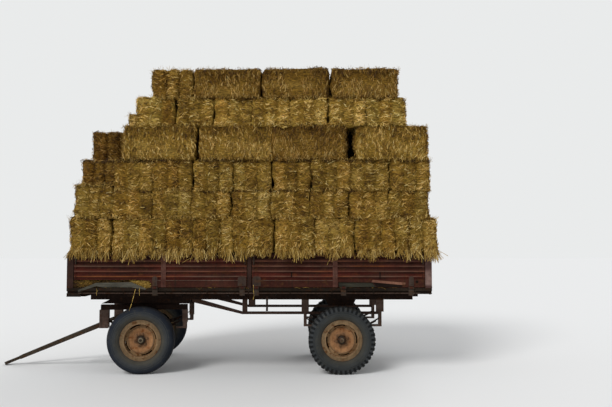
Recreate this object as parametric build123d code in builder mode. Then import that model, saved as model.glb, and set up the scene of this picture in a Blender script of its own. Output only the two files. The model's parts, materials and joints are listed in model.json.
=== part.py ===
from build123d import *
from math import acos, asin, atan2, cos, degrees, hypot, radians, sin, sqrt
import os

# Two-axle farm wagon with a turntable bogie, drop sides and a load of small bales.
# The front of the wagon is -X, its left side -Y, up is +Z. Lengths in mm, angles in degrees.
# The origin is on the ground, under the middle of the whole length and width.
# Distances called "back" are measured rearwards from the front end of the bed.

# Wheels and axles
tyre_radius = 400
tyre_width = 205
bulge_radius = 304
bead_height = 4
smooth_shoulder_radius = 372
smooth_shoulder_width = 168
smooth_tread_width = 60
lug_count = 42
lug_root_radius = 388
lug_foot_radius = 341
lug_width = 34
lug_top_width = 164
lug_foot_width = 203
lug_start = 38
lug_seat = 6
carcass_top_width = 156
carcass_foot_radius = 346
carcass_foot_width = 194
centre_rib_radius = 397
centre_rib_width = 60
rim_flange_radius = 240
bead_radius = 203
rim_width = 134
flange_thickness = 7
rim_wall = 6
disc_thickness = 9
disc_edge = -12
disc_crest_radius = 156
disc_crest = 18
disc_dish_radius = 100
disc_dish = -8
slot_radius = 179
slot_width = 16
slot_span = 40
slot_turns = {"front": 24, "rear": 9}
hub_radius = 58
hub_back = 80
hub_flange_radius = 98
hub_flange_thickness = 14
hub_cap_radius = 42
hub_cap_height = 32
hub_cap_gap = 8
hub_cap_dome = 59
spindle_radius = 30
spindle_tip = 24
spindle_tip_gap = 2
beam_end_inset = 110
running_clearance = 0.05
seat_clearance = 0.3
track = 1500
axle_size = 70
rear_axle_back = 3231
kingpin_back = 776
steer_angle = 4

# Bed
bed_length = 4278
bed_width = 1950
rail_depth = 71
rail_width = 60
rail_edge = 36
rail_recess = 25
rail_flange = 9
rail_flange_inset = 4
corner_bracket_length = 157
corner_bracket_depth = 32
floor_thickness = 33
floor_planks = 9
plank_gap = 4
joist_depth = 70
joist_width = 60
joist_count = 8
post_size = 77
wall_height = 400
gate_gap = 7
gate_thickness = 30
gate_end_gap = 8
headboard_inset = 20
groove_count = 5
groove_first = 106
groove_pitch = 60
groove_mouth = 26
groove_floor = 14
groove_depth = 9
end_frame_width = 20
stile_reach = 1003
stile_width = 58
stile_proud = 4
stake_width = 47
hinge_offset = 16
hinge_rise = 2
hinge_reaches = (83, 1103, 1894)
hinge_inset = 110
hinge_pin_radius = 8
knuckle_radius = 13
knuckle_length = 40
lug_thickness = 10
lug_gap = 1
strap_width = 60
wide_strap_width = 100
strap_gap = 3
strap_height = 130
strap_thickness = 5
hinge_plate_width = 60
hinge_plate_thickness = 8
hinge_plate_drop = 88

# Damage to the two left gates: the bottom band is torn away, through the panel or to a depth.
# Columns: distance along the gate, height above its bottom.
lost_band = ((0, 0), (0, 90), (400, 86), (720, 90), (880, 76), (913, 36), (890, 0))
torn_band = ((1010, 0), (1010, 62), (1414, 58), (1459, 0))
torn_band_depth = 18

# The band torn off the front left gate, bent and caught against the rail.
# Columns: back, heights of its lower and upper edges above the floor.
bent_strip_stations = (
    (136, -48, -23),
    (349, 22, 61),
    (420, 8, 62),
    (762, 8, 66),
    (927, -21, -3),
)
bent_strip_thickness = 4

# Chassis, from the top of the tyres up
tyre_clearance = 12
upper_frame_depth = 49
beam_depth = 69
beam_width = 60
beam_wall = 9
beam_outer = 500
beam_front_back = 143
beam_rear_back = 4121
buffer_length = 373
buffer_foot_length = 300
buffer_depth = 74

# Truss under each main beam
truss_start_back = 1398
truss_width = 45
truss_depth = 31
truss_underside = 681
truss_post_back = 2047
truss_post_width = 60
side_block_back = 2141
side_block_size = 68

# Leaf springs and their hangers
spring_width = 60
leaf_thickness = 9
leaf_count = 7
spring_end_height = 638
spring_eye_radius = 18
spring_pin_radius = 9
spring_clamp_length = 120
hanger_cheek = 8
hanger_headroom = 30
hook_thickness = 20
rear_hanger_front_back = 2793
rear_hanger_rear_back = 3717

# Spring hangers. Columns: width of the plate, its foot below the spring's eye (above it when
# negative), width of the leg, foot of the leg, reach of the hook towards the axle.
drawbar_hanger = (112, 125, 0, 0, 0)
bogie_slipper = (62, 60, 44, 112, 110)
axle_slipper = (90, spring_end_height - truss_underside - truss_depth, 38, 86, 100)

# Bogie and turntable
bogie_front_reach = 533
bogie_rear_reach = 523
bogie_rail_depth = 63
bogie_rail_width = 60
bogie_rail_gap = 12
bogie_cross_width = 80
cross_spacing = 300
centre_rib_span = 90
bolster_width = 120
upper_frame_front_reach = 500
upper_frame_rear_reach = 600
upper_frame_taper = 100
ring_drop = 6
ring_outer_radius = 430
ring_inner_radius = 375
ring_height = 25
ring_gap = 0.4
kingpin_radius = 25
kingpin_nut_radius = 42
kingpin_nut_height = 30
kingpin_nut_gap = 2
centre_plate_radius = 110

# Drawbar
drawbar_pivot_reach = 493
drawbar_pivot_height = 563
drawbar_leg_gap = 6
drawbar_pin_radius = 12
drawbar_pin_tail = 12
drawbar_boss_radius = 30
drawbar_leg_size = 46
drawbar_length = 1447
drawbar_neck_length = 170
drawbar_neck_width = 70
neck_tip_width = 52
neck_overlap = 40
leg_spread = 20
leg_parting = 1
drawbar_crossbar_reach = 520
crossbar_width = 40
crossbar_depth = 36
towing_eye_radius = 50
towing_eye_bore = 20
towing_eye_thickness = 36

# Load: courses of bales, the first inside the box, the others above it
load_width = 2100
bale_length = 900
bale_width = 470
box_load_gap = 5
box_load_inset = 150
bale_gap = 6
bale_corner = 32
course_heights = (392, 326, 356, 408, 326, 344)
load_clearance = 14
tall_bale_step = 64

# Heights that follow
axle_height = tyre_radius
upper_frame_bottom = 2 * tyre_radius + tyre_clearance
beam_bottom = upper_frame_bottom + upper_frame_depth
beam_top = beam_bottom + beam_depth
joist_top = beam_top + joist_depth
floor_top = joist_top + floor_thickness
rail_bottom = floor_top - rail_depth
gate_bottom = floor_top + gate_gap
gate_top = gate_bottom + wall_height
bogie_top = upper_frame_bottom - bogie_rail_gap
bogie_bottom = bogie_top - bogie_rail_depth
bed_side = bed_width / 2
box_load_width = bed_width - 2 * (rail_width + box_load_gap)
spring_y = beam_outer - spring_width / 2 - hanger_cheek
hanger_inner = spring_y - spring_width / 2 - hanger_cheek - seat_clearance
leg_half = drawbar_leg_size / 2
drawbar_pivot_half_width = hanger_inner - drawbar_leg_gap - leg_half
truss_bend_back = truss_post_back - truss_post_width / 2

# Slope of the drawbar that puts its towing eye on the ground
drawbar_slope = degrees(
    asin(drawbar_pivot_height / hypot(drawbar_length, towing_eye_thickness / 2))
    - atan2(towing_eye_thickness / 2, drawbar_length)
)
eye_reach = drawbar_length - towing_eye_radius

# How far the towing eye stands in front of the kingpin, with the bogie turned
eye_tilt = sin(radians(drawbar_slope)) * cos(radians(steer_angle))
eye_half_extent = (
    towing_eye_radius * sqrt(1 - eye_tilt**2) + towing_eye_thickness / 2 * eye_tilt
)
eye_centre_reach = (drawbar_pivot_reach + eye_reach * cos(radians(drawbar_slope))) * cos(
    radians(steer_angle)
)
front_reach = eye_centre_reach + eye_half_extent - kingpin_back

# Load runs. Columns: course, front and rear ends (back), how the bales lie, inset of the left
# side, rise of the bottom, rise of the top. Bales lie end-on or side-on as seen from the side.
load_runs = (
    (0, box_load_inset, bed_length - box_load_inset, "end", 0, 0, 0),
    (1, 63, 4323, "end", 0, 0, 0),
    (2, 110, 545, "end", 0, 0, tall_bale_step),
    (2, 545, 4226, "end", 0, 0, 0),
    (3, 169, 553, "end", 52, tall_bale_step, 0),
    (3, 553, 4249, "end", 0, 0, 0),
    (4, 152, 640, "end", 525, 0, 0),
    (4, 646, 3293, "side", 0, 0, 0),
    (4, 3368, 4226, "side", 0, 0, 0),
    (5, 453, 803, "end", 1050, 0, 0),
    (5, 815, 3967, "end", 0, 0, 0),
    (6, 996, 1464, "end", 0, 0, 0),
    (6, 1489, 3876, "side", 0, 0, 0),
)
load_rear_back = max(run[2] for run in load_runs)

# Places along the wagon
bed_front = (front_reach - load_rear_back) / 2
bed_rear = bed_front + bed_length
kingpin_x = bed_front + kingpin_back
rear_axle_x = bed_front + rear_axle_back

# Frames that carry whole groups: the turned bogie, and the drawbar hanging from it
bogie = Location((kingpin_x, 0, 0), (0, 0, steer_angle))
drawbar = bogie * Location((-drawbar_pivot_reach, 0, drawbar_pivot_height), (0, -drawbar_slope, 0))

os.makedirs("parts", exist_ok=True)


def on(place, plane):
    """The plane, carried along by a place."""
    return Plane(place * plane.location)


def axis_along(place, direction):
    """An axis through a place, in the direction given in that place's own frame."""
    start = (place * Location((0, 0, 0))).position
    end = (place * Location(direction)).position
    return Axis(start, end - start)


# Main beams: channels open towards the middle of the wagon
def channel(side, outer, depth, width, wall):
    """Outline of a channel lying along X, its web outside, in the plane's Y and Z."""
    inner = outer - width
    with BuildLine() as outline:
        Polyline(
            (side * outer, 0),
            (side * outer, depth),
            (side * inner, depth),
            (side * inner, depth - wall),
            (side * (outer - wall), depth - wall),
            (side * (outer - wall), wall),
            (side * inner, wall),
            (side * inner, 0),
            close=True,
        )
    make_face(outline.edges())


with BuildPart() as main_beams:
    for side in (-1, 1):
        with BuildSketch(on(Location((bed_front + beam_front_back, 0, beam_bottom)), Plane.YZ)):
            channel(side, beam_outer, beam_depth, beam_width, beam_wall)
        extrude(amount=beam_rear_back - beam_front_back)
main_beams.part.label = "main_beams"
export_step(main_beams.part, "parts/main_beams.step")

# Cross joists on the beams, from rail to rail
joist_span = bed_width - 2 * rail_width
joist_pitch = (beam_rear_back - beam_front_back - joist_width) / (joist_count - 1)
with BuildPart() as joists:
    with BuildSketch(Plane.XZ.offset(-joist_span / 2)):
        for index in range(joist_count):
            back = beam_front_back + joist_width / 2 + index * joist_pitch
            with Locations((bed_front + back, beam_top + joist_depth / 2)):
                Rectangle(joist_width, joist_depth)
    extrude(amount=joist_span)
joists.part.label = "cross_joists"
export_step(joists.part, "parts/cross_joists.step")

# Floor planks along the bed
floor_width = bed_width - 2 * rail_width
plank_pitch = (floor_width + plank_gap) / floor_planks
with BuildPart() as floor:
    with BuildSketch(Plane.YZ.offset(bed_front + rail_width)):
        for index in range(floor_planks):
            y = -floor_width / 2 + (index + 0.5) * plank_pitch - plank_gap / 2
            with Locations((y, joist_top + floor_thickness / 2)):
                Rectangle(plank_pitch - plank_gap, floor_thickness)
    extrude(amount=bed_length - 2 * rail_width)
floor.part.label = "floor_planks"
export_step(floor.part, "parts/floor_planks.step")

# Rails round the bed: a deep top edge, a recess and a thin bottom flange
def rail_outline(side, outer):
    """Outline of a rail, its recess outside, in the plane's first axis and Z."""
    with BuildLine() as outline:
        Polyline(
            (side * (outer - rail_width), 0),
            (side * (outer - rail_flange_inset), 0),
            (side * (outer - rail_flange_inset), rail_flange),
            (side * (outer - rail_recess), rail_flange),
            (side * (outer - rail_recess), rail_depth - rail_edge),
            (side * outer, rail_depth - rail_edge),
            (side * outer, rail_depth),
            (side * (outer - rail_width), rail_depth),
            close=True,
        )
    make_face(outline.edges())


with BuildPart() as side_rails:
    for side in (-1, 1):
        with BuildSketch(on(Location((bed_front, 0, rail_bottom)), Plane.YZ)):
            rail_outline(side, bed_side)
        extrude(amount=bed_length)
        with BuildSketch(Plane.XY.offset(rail_bottom - corner_bracket_depth)):
            with Locations((bed_front + corner_bracket_length / 2, side * (bed_side - rail_width / 2))):
                Rectangle(corner_bracket_length, rail_width - 2 * rail_flange_inset)
        extrude(amount=corner_bracket_depth)
side_rails.part.label = "side_rails"
export_step(side_rails.part, "parts/side_rails.step")

with BuildPart() as end_rails:
    for side in (-1, 1):
        middle = (bed_front + bed_rear) / 2
        with BuildSketch(on(Location((middle, floor_width / 2, rail_bottom)), Plane.XZ)):
            rail_outline(side, bed_length / 2)
        extrude(amount=floor_width)
end_rails.part.label = "end_rails"
export_step(end_rails.part, "parts/end_rails.step")

# Corner posts on the rails, and a stake between the two gates of each side
gate_length = (bed_length - 2 * post_size - stake_width) / 2 - 2 * gate_end_gap
with BuildPart() as posts:
    with BuildSketch(Plane.XY.offset(floor_top)):
        for side in (-1, 1):
            for x in (bed_front + post_size / 2, bed_rear - post_size / 2):
                with Locations((x, side * (bed_side - rail_width / 2))):
                    Rectangle(post_size, rail_width)
            with Locations(((bed_front + bed_rear) / 2, side * (bed_side - rail_width / 2))):
                Rectangle(stake_width, rail_width)
    extrude(amount=gate_top - floor_top)
posts.part.label = "posts"
export_step(posts.part, "parts/posts.step")


# Ribbed panels: a sheet with level grooves pressed into both faces
def ribbed_outline(thickness, height):
    """Outline of a ribbed panel, thickness along the first axis from 0, height along the second."""
    with BuildLine() as outline:
        Polyline((0, 0), (thickness, 0), (thickness, height), (0, height), close=True)
    make_face(outline.edges())
    for index in range(groove_count):
        middle = groove_first + index * groove_pitch
        for face, depth in ((0, groove_depth), (thickness, -groove_depth)):
            with BuildLine() as groove:
                Polyline(
                    (face, middle - groove_mouth / 2),
                    (face + depth, middle - groove_floor / 2),
                    (face + depth, middle + groove_floor / 2),
                    (face, middle + groove_mouth / 2),
                    close=True,
                )
            make_face(groove.edges(), mode=Mode.SUBTRACT)


wall_width = bed_width - 2 * rail_width - 2 * gate_end_gap
with BuildPart() as headboard:
    with BuildSketch(on(Location((bed_front + headboard_inset, wall_width / 2, floor_top)), Plane.XZ)):
        with BuildLine():
            Polyline((0, 0), (gate_thickness, 0), (gate_thickness, gate_gap), (0, gate_gap), close=True)
        make_face()
    extrude(amount=wall_width)
    with BuildSketch(on(Location((bed_front + headboard_inset, wall_width / 2, gate_bottom)), Plane.XZ)):
        ribbed_outline(gate_thickness, wall_height)
    extrude(amount=wall_width)
headboard.part.label = "headboard"
export_step(headboard.part, "parts/headboard.step")

# Hinges: lugs with a pin on the rails, knuckles on the gates. Reaches run from the stake's middle.
hinge_height = floor_top + hinge_rise
hinge_y = bed_side + hinge_offset
stake_back = bed_length / 2
gate_start_reach = stake_width / 2 + gate_end_gap
gate_fronts = (
    bed_front + post_size + gate_end_gap,
    bed_front + stake_back + gate_start_reach,
)
tail_hinges = [-wall_width / 2 + hinge_inset, 0, wall_width / 2 - hinge_inset]
lug_offset = knuckle_length / 2 + lug_gap + lug_thickness / 2


def hinge_lugs(place):
    """Two lugs, a pin and their plate on the rail: the pin along the place's X, the rail at +Y."""
    for end in (-1, 1):
        with BuildSketch(on(place, Plane.YZ.offset(end * lug_offset - lug_thickness / 2))) as lug:
            Circle(knuckle_radius)
            with Locations((hinge_offset / 2, -knuckle_radius / 2 - hinge_rise)):
                Rectangle(hinge_offset, knuckle_radius)
        extrude(lug.sketch, amount=lug_thickness)
    pin_length = 2 * lug_offset + lug_thickness
    with BuildSketch(on(place, Plane.YZ.offset(-pin_length / 2))) as pin:
        Circle(hinge_pin_radius)
    extrude(pin.sketch, amount=pin_length)
    plate_foot = hinge_rise + hinge_plate_drop
    with BuildSketch(on(place, Plane.YZ.offset(-hinge_plate_width / 2))) as plate:
        with Locations((hinge_offset - hinge_plate_thickness / 2, -(plate_foot + knuckle_radius) / 2)):
            Rectangle(hinge_plate_thickness, plate_foot - knuckle_radius)
    extrude(plate.sketch, amount=hinge_plate_width)


# The front left gate has lost its outer hinge
with BuildPart() as hinges:
    for reach in hinge_reaches:
        for end in (-1, 1):
            x = bed_front + stake_back + end * reach
            if (end, reach) != (-1, hinge_reaches[-1]):
                hinge_lugs(Location((x, -hinge_y, hinge_height)))
            hinge_lugs(Location((x, hinge_y, hinge_height), (0, 0, 180)))
    for y in tail_hinges:
        hinge_lugs(Location((bed_rear + hinge_offset, y, hinge_height), (0, 0, 90)))
hinges.part.label = "hinge_lugs"
export_step(hinges.part, "parts/hinge_lugs.step")


def gate(place, length, knuckles, straps, stile=None, damage=None):
    """A drop gate in its place: X along it, +Y into the wagon, origin on the hinge pin."""
    bottom = gate_bottom - hinge_height
    web_top = knuckle_radius + 2 * hinge_rise
    strap_bottom = knuckle_radius + strap_gap
    with BuildPart() as panel:
        with BuildSketch(on(place * Location((0, hinge_offset, bottom)), Plane.YZ)):
            ribbed_outline(gate_thickness, wall_height)
        extrude(amount=length)
        with BuildSketch(on(place * Location((0, hinge_offset, bottom)), Plane.XY)):
            for start in (0, length - end_frame_width):
                with Locations((start + end_frame_width / 2, gate_thickness / 2)):
                    Rectangle(end_frame_width, gate_thickness)
            if stile:
                with Locations((stile, (gate_thickness - stile_proud) / 2)):
                    Rectangle(stile_width, gate_thickness + stile_proud)
        extrude(amount=wall_height)
        if damage:
            band, depth = damage
            with BuildSketch(on(place * Location((0, hinge_offset + depth, bottom)), Plane.XZ)):
                with BuildLine():
                    Polyline(*band, close=True)
                make_face()
            extrude(amount=depth + stile_proud, mode=Mode.SUBTRACT)
        for x in knuckles:
            with BuildSketch(on(place, Plane.YZ.offset(x - knuckle_length / 2))):
                Circle(knuckle_radius)
                with Locations((hinge_offset / 2, web_top / 2)):
                    Rectangle(hinge_offset, web_top)
                with Locations((hinge_offset + gate_thickness / 2, (bottom + web_top) / 2)):
                    Rectangle(gate_thickness, web_top - bottom)
                Circle(hinge_pin_radius + running_clearance, mode=Mode.SUBTRACT)
            extrude(amount=knuckle_length)
        with BuildSketch(on(place * Location((0, 0, strap_bottom)), Plane.XY)):
            for x, width in straps:
                with Locations((x, hinge_offset - strap_thickness / 2)):
                    Rectangle(width, strap_thickness)
        extrude(amount=bottom + strap_height - strap_bottom)
    return panel


def side_gate(place, stake_at_start, hinge_count=3, lost_straps=(), damage=None):
    """A side gate, its stile, hinges and straps placed by their reach from the stake."""
    def along(reach):
        return reach - gate_start_reach if stake_at_start else gate_length - reach + gate_start_reach

    reaches = hinge_reaches[:hinge_count]
    straps = [
        (along(reach), wide_strap_width if reach == hinge_reaches[0] else strap_width)
        for reach in reaches
        if reach not in lost_straps
    ]
    knuckles = [along(reach) for reach in reaches]
    return gate(place, gate_length, knuckles, straps, along(stile_reach), damage)


left_front_place = Location((gate_fronts[0], -hinge_y, hinge_height))
left_rear_place = Location((gate_fronts[1], -hinge_y, hinge_height))
right_front_place = Location((gate_fronts[0] + gate_length, hinge_y, hinge_height), (0, 0, 180))
right_rear_place = Location((gate_fronts[1] + gate_length, hinge_y, hinge_height), (0, 0, 180))
side_gates = {
    "gate_front_left": side_gate(left_front_place, False, 2, (), (lost_band, gate_thickness)),
    "gate_rear_left": side_gate(
        left_rear_place, True, 3, hinge_reaches[1:2], (torn_band, torn_band_depth)
    ),
    "gate_front_right": side_gate(right_front_place, True),
    "gate_rear_right": side_gate(right_rear_place, False),
}
for gate_name, panel in side_gates.items():
    panel.part.label = gate_name
    export_step(panel.part, f"parts/{gate_name}.step")

tail_place = Location((bed_rear + hinge_offset, -wall_width / 2, hinge_height), (0, 0, 90))
tail_knuckles = [y + wall_width / 2 for y in tail_hinges]
tailgate = gate(tail_place, wall_width, tail_knuckles, [(x, strap_width) for x in tail_knuckles])
tailgate.part.label = "tailgate"
export_step(tailgate.part, "parts/tailgate.step")

with BuildPart() as bent_strip:
    with BuildSketch(Plane.XZ.offset(bed_side + seat_clearance)):
        lower_edge = [(bed_front + back, floor_top + low) for back, low, high in bent_strip_stations]
        upper_edge = [(bed_front + back, floor_top + high) for back, low, high in bent_strip_stations]
        with BuildLine():
            Polyline(*lower_edge, *reversed(upper_edge), close=True)
        make_face()
    extrude(amount=bent_strip_thickness)
bent_strip.part.label = "bent_strip"
export_step(bent_strip.part, "parts/bent_strip.step")

# Truss under each beam: a diagonal, a lower chord and a post
truss_y = beam_outer - truss_width / 2
truss_top = truss_underside + truss_depth
slipper_leg_half = axle_slipper[2] / 2
with BuildPart() as truss_diagonals:
    for side in (-1, 1):
        with BuildSketch(Plane.XZ.offset(-side * truss_y - truss_width / 2)):
            with BuildLine():
                Polyline(
                    (bed_front + truss_start_back, beam_bottom),
                    (bed_front + truss_start_back, beam_bottom - truss_depth),
                    (bed_front + truss_bend_back, truss_underside),
                    (bed_front + truss_bend_back, truss_top),
                    (bed_front + truss_start_back + 3 * truss_depth, beam_bottom),
                    close=True,
                )
            make_face()
        extrude(amount=truss_width)
truss_diagonals.part.label = "truss_diagonals"
export_step(truss_diagonals.part, "parts/truss_diagonals.step")

with BuildPart() as truss_chords:
    for side in (-1, 1):
        for front, rear in (
            (truss_bend_back, rear_hanger_front_back - slipper_leg_half),
            (rear_hanger_front_back + slipper_leg_half, rear_hanger_rear_back - slipper_leg_half),
        ):
            with BuildSketch(Plane.XZ.offset(-side * truss_y - truss_width / 2)):
                with Locations((bed_front + (front + rear) / 2, truss_underside + truss_depth / 2)):
                    Rectangle(rear - front, truss_depth)
            extrude(amount=truss_width)
truss_chords.part.label = "truss_chords"
export_step(truss_chords.part, "parts/truss_chords.step")

with BuildPart() as truss_posts:
    for side in (-1, 1):
        with BuildSketch(Plane.XY.offset(truss_top)):
            with Locations((bed_front + truss_post_back, side * truss_y)):
                Rectangle(truss_post_width, truss_width)
        extrude(amount=beam_bottom - truss_top)
        with BuildSketch(Plane.XY.offset(beam_bottom - side_block_size)):
            with Locations((bed_front + side_block_back, side * truss_y)):
                Rectangle(side_block_size, truss_width)
        extrude(amount=side_block_size)
truss_posts.part.label = "truss_posts"
export_step(truss_posts.part, "parts/truss_posts.step")


# Buffers under the beams, over the rear axle
with BuildPart() as buffers:
    for side in (-1, 1):
        with BuildSketch(Plane.XZ.offset(-side * (beam_outer - beam_width / 2) - beam_width / 2)):
            with BuildLine():
                Polyline(
                    (rear_axle_x - buffer_length / 2, beam_bottom),
                    (rear_axle_x + buffer_length / 2, beam_bottom),
                    (rear_axle_x + buffer_foot_length / 2, beam_bottom - buffer_depth),
                    (rear_axle_x - buffer_foot_length / 2, beam_bottom - buffer_depth),
                    close=True,
                )
            make_face()
        extrude(amount=beam_width)
buffers.part.label = "axle_buffers"
export_step(buffers.part, "parts/axle_buffers.step")


# Hangers: a plate with two cheeks round the spring's eye, a leg and a hook under the spring's end
def hanger(place, top, shape, towards):
    """A spring hanger with the spring's eye at the place. Towards is +1 or -1, to the axle."""
    plate_width, plate_foot, leg_width, leg_foot, hook_reach = shape
    width = spring_width + 2 * (hanger_cheek + seat_clearance)
    with BuildSketch(on(place, Plane.XZ.offset(-width / 2))) as bracket:
        with Locations((0, (top - plate_foot) / 2)):
            Rectangle(plate_width, top + plate_foot)
        if hook_reach:
            with Locations((0, (top - leg_foot) / 2)):
                Rectangle(leg_width, top + leg_foot)
            hook_middle = towards * (hook_reach - leg_width / 2) / 2
            with Locations((hook_middle, -leg_foot - hook_thickness / 2)):
                Rectangle(hook_reach + leg_width / 2, hook_thickness)
    extrude(bracket.sketch, amount=width)
    slot = spring_width + 2 * seat_clearance
    room_foot = leg_foot if hook_reach else plate_foot + hook_thickness
    with BuildSketch(on(place, Plane.XZ.offset(-slot / 2))) as room:
        with Locations((0, (hanger_headroom - room_foot) / 2)):
            Rectangle(2 * plate_width, hanger_headroom + room_foot)
    extrude(room.sketch, amount=slot, mode=Mode.SUBTRACT)
    with BuildSketch(on(place, Plane.XZ.offset(-width / 2))) as pin:
        Circle(spring_pin_radius)
    extrude(pin.sketch, amount=width)


with BuildPart() as rear_hangers:
    for side in (-1, 1):
        for back, towards in ((rear_hanger_front_back, 1), (rear_hanger_rear_back, -1)):
            place = Location((bed_front + back, side * spring_y, spring_end_height))
            hanger(place, beam_bottom - spring_end_height, axle_slipper, towards)
rear_hangers.part.label = "rear_hangers"
export_step(rear_hangers.part, "parts/rear_hangers.step")


def leaf_spring(place, front, rear, seat):
    """A pack of curved leaves, its eyes front and rear of the place, its clamp over the axle."""
    half = (rear - front) / 2
    middle = (rear + front) / 2
    pack = leaf_count * leaf_thickness
    seat_top = axle_height + axle_size / 2
    sag = spring_end_height - seat_top - pack + leaf_thickness / 2
    radius = (half**2 + sag**2) / (2 * sag)
    with BuildPart() as spring:
        with BuildSketch(on(place, Plane.XZ.offset(-spring_width / 2))):
            for index in range(leaf_count):
                reach = half * (1 - 0.8 * index / leaf_count)
                inner = radius - leaf_thickness / 2 + index * leaf_thickness
                outer = inner + leaf_thickness
                angle = degrees(asin(reach / inner))
                centre = (middle, spring_end_height - sag + radius)
                with BuildLine():
                    low = CenterArc(centre, outer, 270 - angle, 2 * angle)
                    high = CenterArc(centre, inner, 270 - angle, 2 * angle)
                    Line(low @ 0, high @ 0)
                    Line(low @ 1, high @ 1)
                make_face()
            for end in (front, rear):
                with Locations((end, spring_end_height)):
                    Circle(spring_eye_radius)
            with Locations((seat, seat_top + pack / 2)):
                Rectangle(spring_clamp_length, pack)
            for end in (front, rear):
                with Locations((end, spring_end_height)):
                    Circle(spring_pin_radius + seat_clearance, mode=Mode.SUBTRACT)
        extrude(amount=spring_width)
    return spring


for side, side_name in ((-1, "left"), (1, "right")):
    spring = leaf_spring(
        Location((bed_front, side * spring_y, 0)),
        rear_hanger_front_back,
        rear_hanger_rear_back,
        rear_axle_back,
    )
    spring.part.label = f"spring_rear_{side_name}"
    export_step(spring.part, f"parts/spring_rear_{side_name}.step")


# Axles: a square beam with a round spindle at each end
spindle_start = track / 2 - beam_end_inset
spindle_end = track / 2 + spindle_tip


def axle(place):
    """A square axle beam along the place's Y, at hub height, with its spindles."""
    with BuildPart() as beam:
        with BuildSketch(on(place, Plane.XZ.offset(-spindle_start))):
            with Locations((0, axle_height)):
                Rectangle(axle_size, axle_size)
        extrude(amount=2 * spindle_start)
        with BuildSketch(on(place, Plane.XZ.offset(-spindle_end))):
            with Locations((0, axle_height)):
                Circle(spindle_radius)
        extrude(amount=2 * spindle_end)
    return beam


rear_axle_place = Location((rear_axle_x, 0, 0))
rear_axle = axle(rear_axle_place)
rear_axle.part.label = "rear_axle"
export_step(rear_axle.part, "parts/rear_axle.step")

front_axle = axle(bogie)
front_axle.part.label = "front_axle"
export_step(front_axle.part, "parts/front_axle.step")

# Upper turntable frame under the beams: side pieces and cross pieces, ring, kingpin
ring_seat = upper_frame_bottom - ring_drop
upper_ring_top = ring_seat + ring_gap / 2 + ring_height
with BuildPart() as upper_frame:
    for side in (-1, 1):
        with BuildSketch(Plane.XZ.offset(-side * (beam_outer - beam_width / 2) - beam_width / 2)):
            with BuildLine():
                Polyline(
                    (kingpin_x - upper_frame_front_reach + upper_frame_taper, beam_bottom),
                    (kingpin_x - upper_frame_front_reach, upper_frame_bottom),
                    (kingpin_x + upper_frame_rear_reach, upper_frame_bottom),
                    (kingpin_x + upper_frame_rear_reach, beam_bottom),
                    close=True,
                )
            make_face()
        extrude(amount=beam_width)
upper_frame.part.label = "upper_frame"
export_step(upper_frame.part, "parts/upper_frame.step")

cross_half = beam_outer - beam_width
with BuildPart() as upper_bolster:
    for x in (-cross_spacing, 0, cross_spacing):
        with BuildSketch(Plane.XY.offset(upper_ring_top)):
            with Locations((kingpin_x + x, 0)):
                Rectangle(bolster_width, 2 * cross_half)
        extrude(amount=beam_bottom - upper_ring_top)
upper_bolster.part.label = "upper_bolster"
export_step(upper_bolster.part, "parts/upper_bolster.step")

with BuildPart() as upper_ring:
    with BuildSketch(on(Location((kingpin_x, 0, ring_seat + ring_gap / 2)), Plane.XY)):
        Circle(ring_outer_radius)
        Circle(ring_inner_radius, mode=Mode.SUBTRACT)
    extrude(amount=ring_height)
upper_ring.part.label = "upper_ring"
export_step(upper_ring.part, "parts/upper_ring.step")

nut_bottom = bogie_bottom - kingpin_nut_gap - kingpin_nut_height
with BuildPart() as kingpin:
    with BuildSketch(on(Location((kingpin_x, 0, nut_bottom)), Plane.XY)):
        RegularPolygon(kingpin_nut_radius, 6)
    extrude(amount=kingpin_nut_height)
    with BuildSketch(on(Location((kingpin_x, 0, nut_bottom)), Plane.XY)):
        Circle(kingpin_radius)
    extrude(amount=upper_ring_top - nut_bottom)
kingpin.part.label = "kingpin"
export_step(kingpin.part, "parts/kingpin.step")

# Bogie: side rails, cross members with the centre plate, lower ring
bogie_length = bogie_front_reach + bogie_rear_reach
bogie_middle = (bogie_rear_reach - bogie_front_reach) / 2
bogie_inner = beam_outer - bogie_rail_width
with BuildPart() as bogie_rails:
    for side in (-1, 1):
        with BuildSketch(on(bogie, Plane.XY.offset(bogie_bottom))):
            with Locations((bogie_middle, side * (beam_outer - bogie_rail_width / 2))):
                Rectangle(bogie_length, bogie_rail_width)
        extrude(amount=bogie_rail_depth)
bogie_rails.part.label = "bogie_rails"
export_step(bogie_rails.part, "parts/bogie_rails.step")

lower_ring_bottom = ring_seat - ring_gap / 2 - ring_height
with BuildPart() as bogie_cross:
    with BuildSketch(on(bogie, Plane.XY.offset(bogie_bottom))):
        for x in (-cross_spacing, 0, cross_spacing):
            with Locations((x, 0)):
                Rectangle(bogie_cross_width, 2 * bogie_inner)
        Circle(centre_plate_radius)
        Rectangle(2 * cross_spacing, centre_rib_span)
        Circle(kingpin_radius + running_clearance, mode=Mode.SUBTRACT)
    extrude(amount=lower_ring_bottom - bogie_bottom)
bogie_cross.part.label = "bogie_cross"
export_step(bogie_cross.part, "parts/bogie_cross.step")

with BuildPart() as lower_ring:
    with BuildSketch(on(bogie, Plane.XY.offset(lower_ring_bottom))):
        Circle(ring_outer_radius)
        Circle(ring_inner_radius, mode=Mode.SUBTRACT)
    extrude(amount=ring_height)
lower_ring.part.label = "lower_ring"
export_step(lower_ring.part, "parts/lower_ring.step")

front_hanger_reach = drawbar_pivot_reach
with BuildPart() as bogie_hangers:
    for side in (-1, 1):
        for x, shape, towards in (
            (-front_hanger_reach, drawbar_hanger, 1),
            (front_hanger_reach, bogie_slipper, -1),
        ):
            place = bogie * Location((x, side * spring_y, spring_end_height))
            hanger(place, bogie_bottom - spring_end_height, shape, towards)
bogie_hangers.part.label = "bogie_hangers"
export_step(bogie_hangers.part, "parts/bogie_hangers.step")

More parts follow.
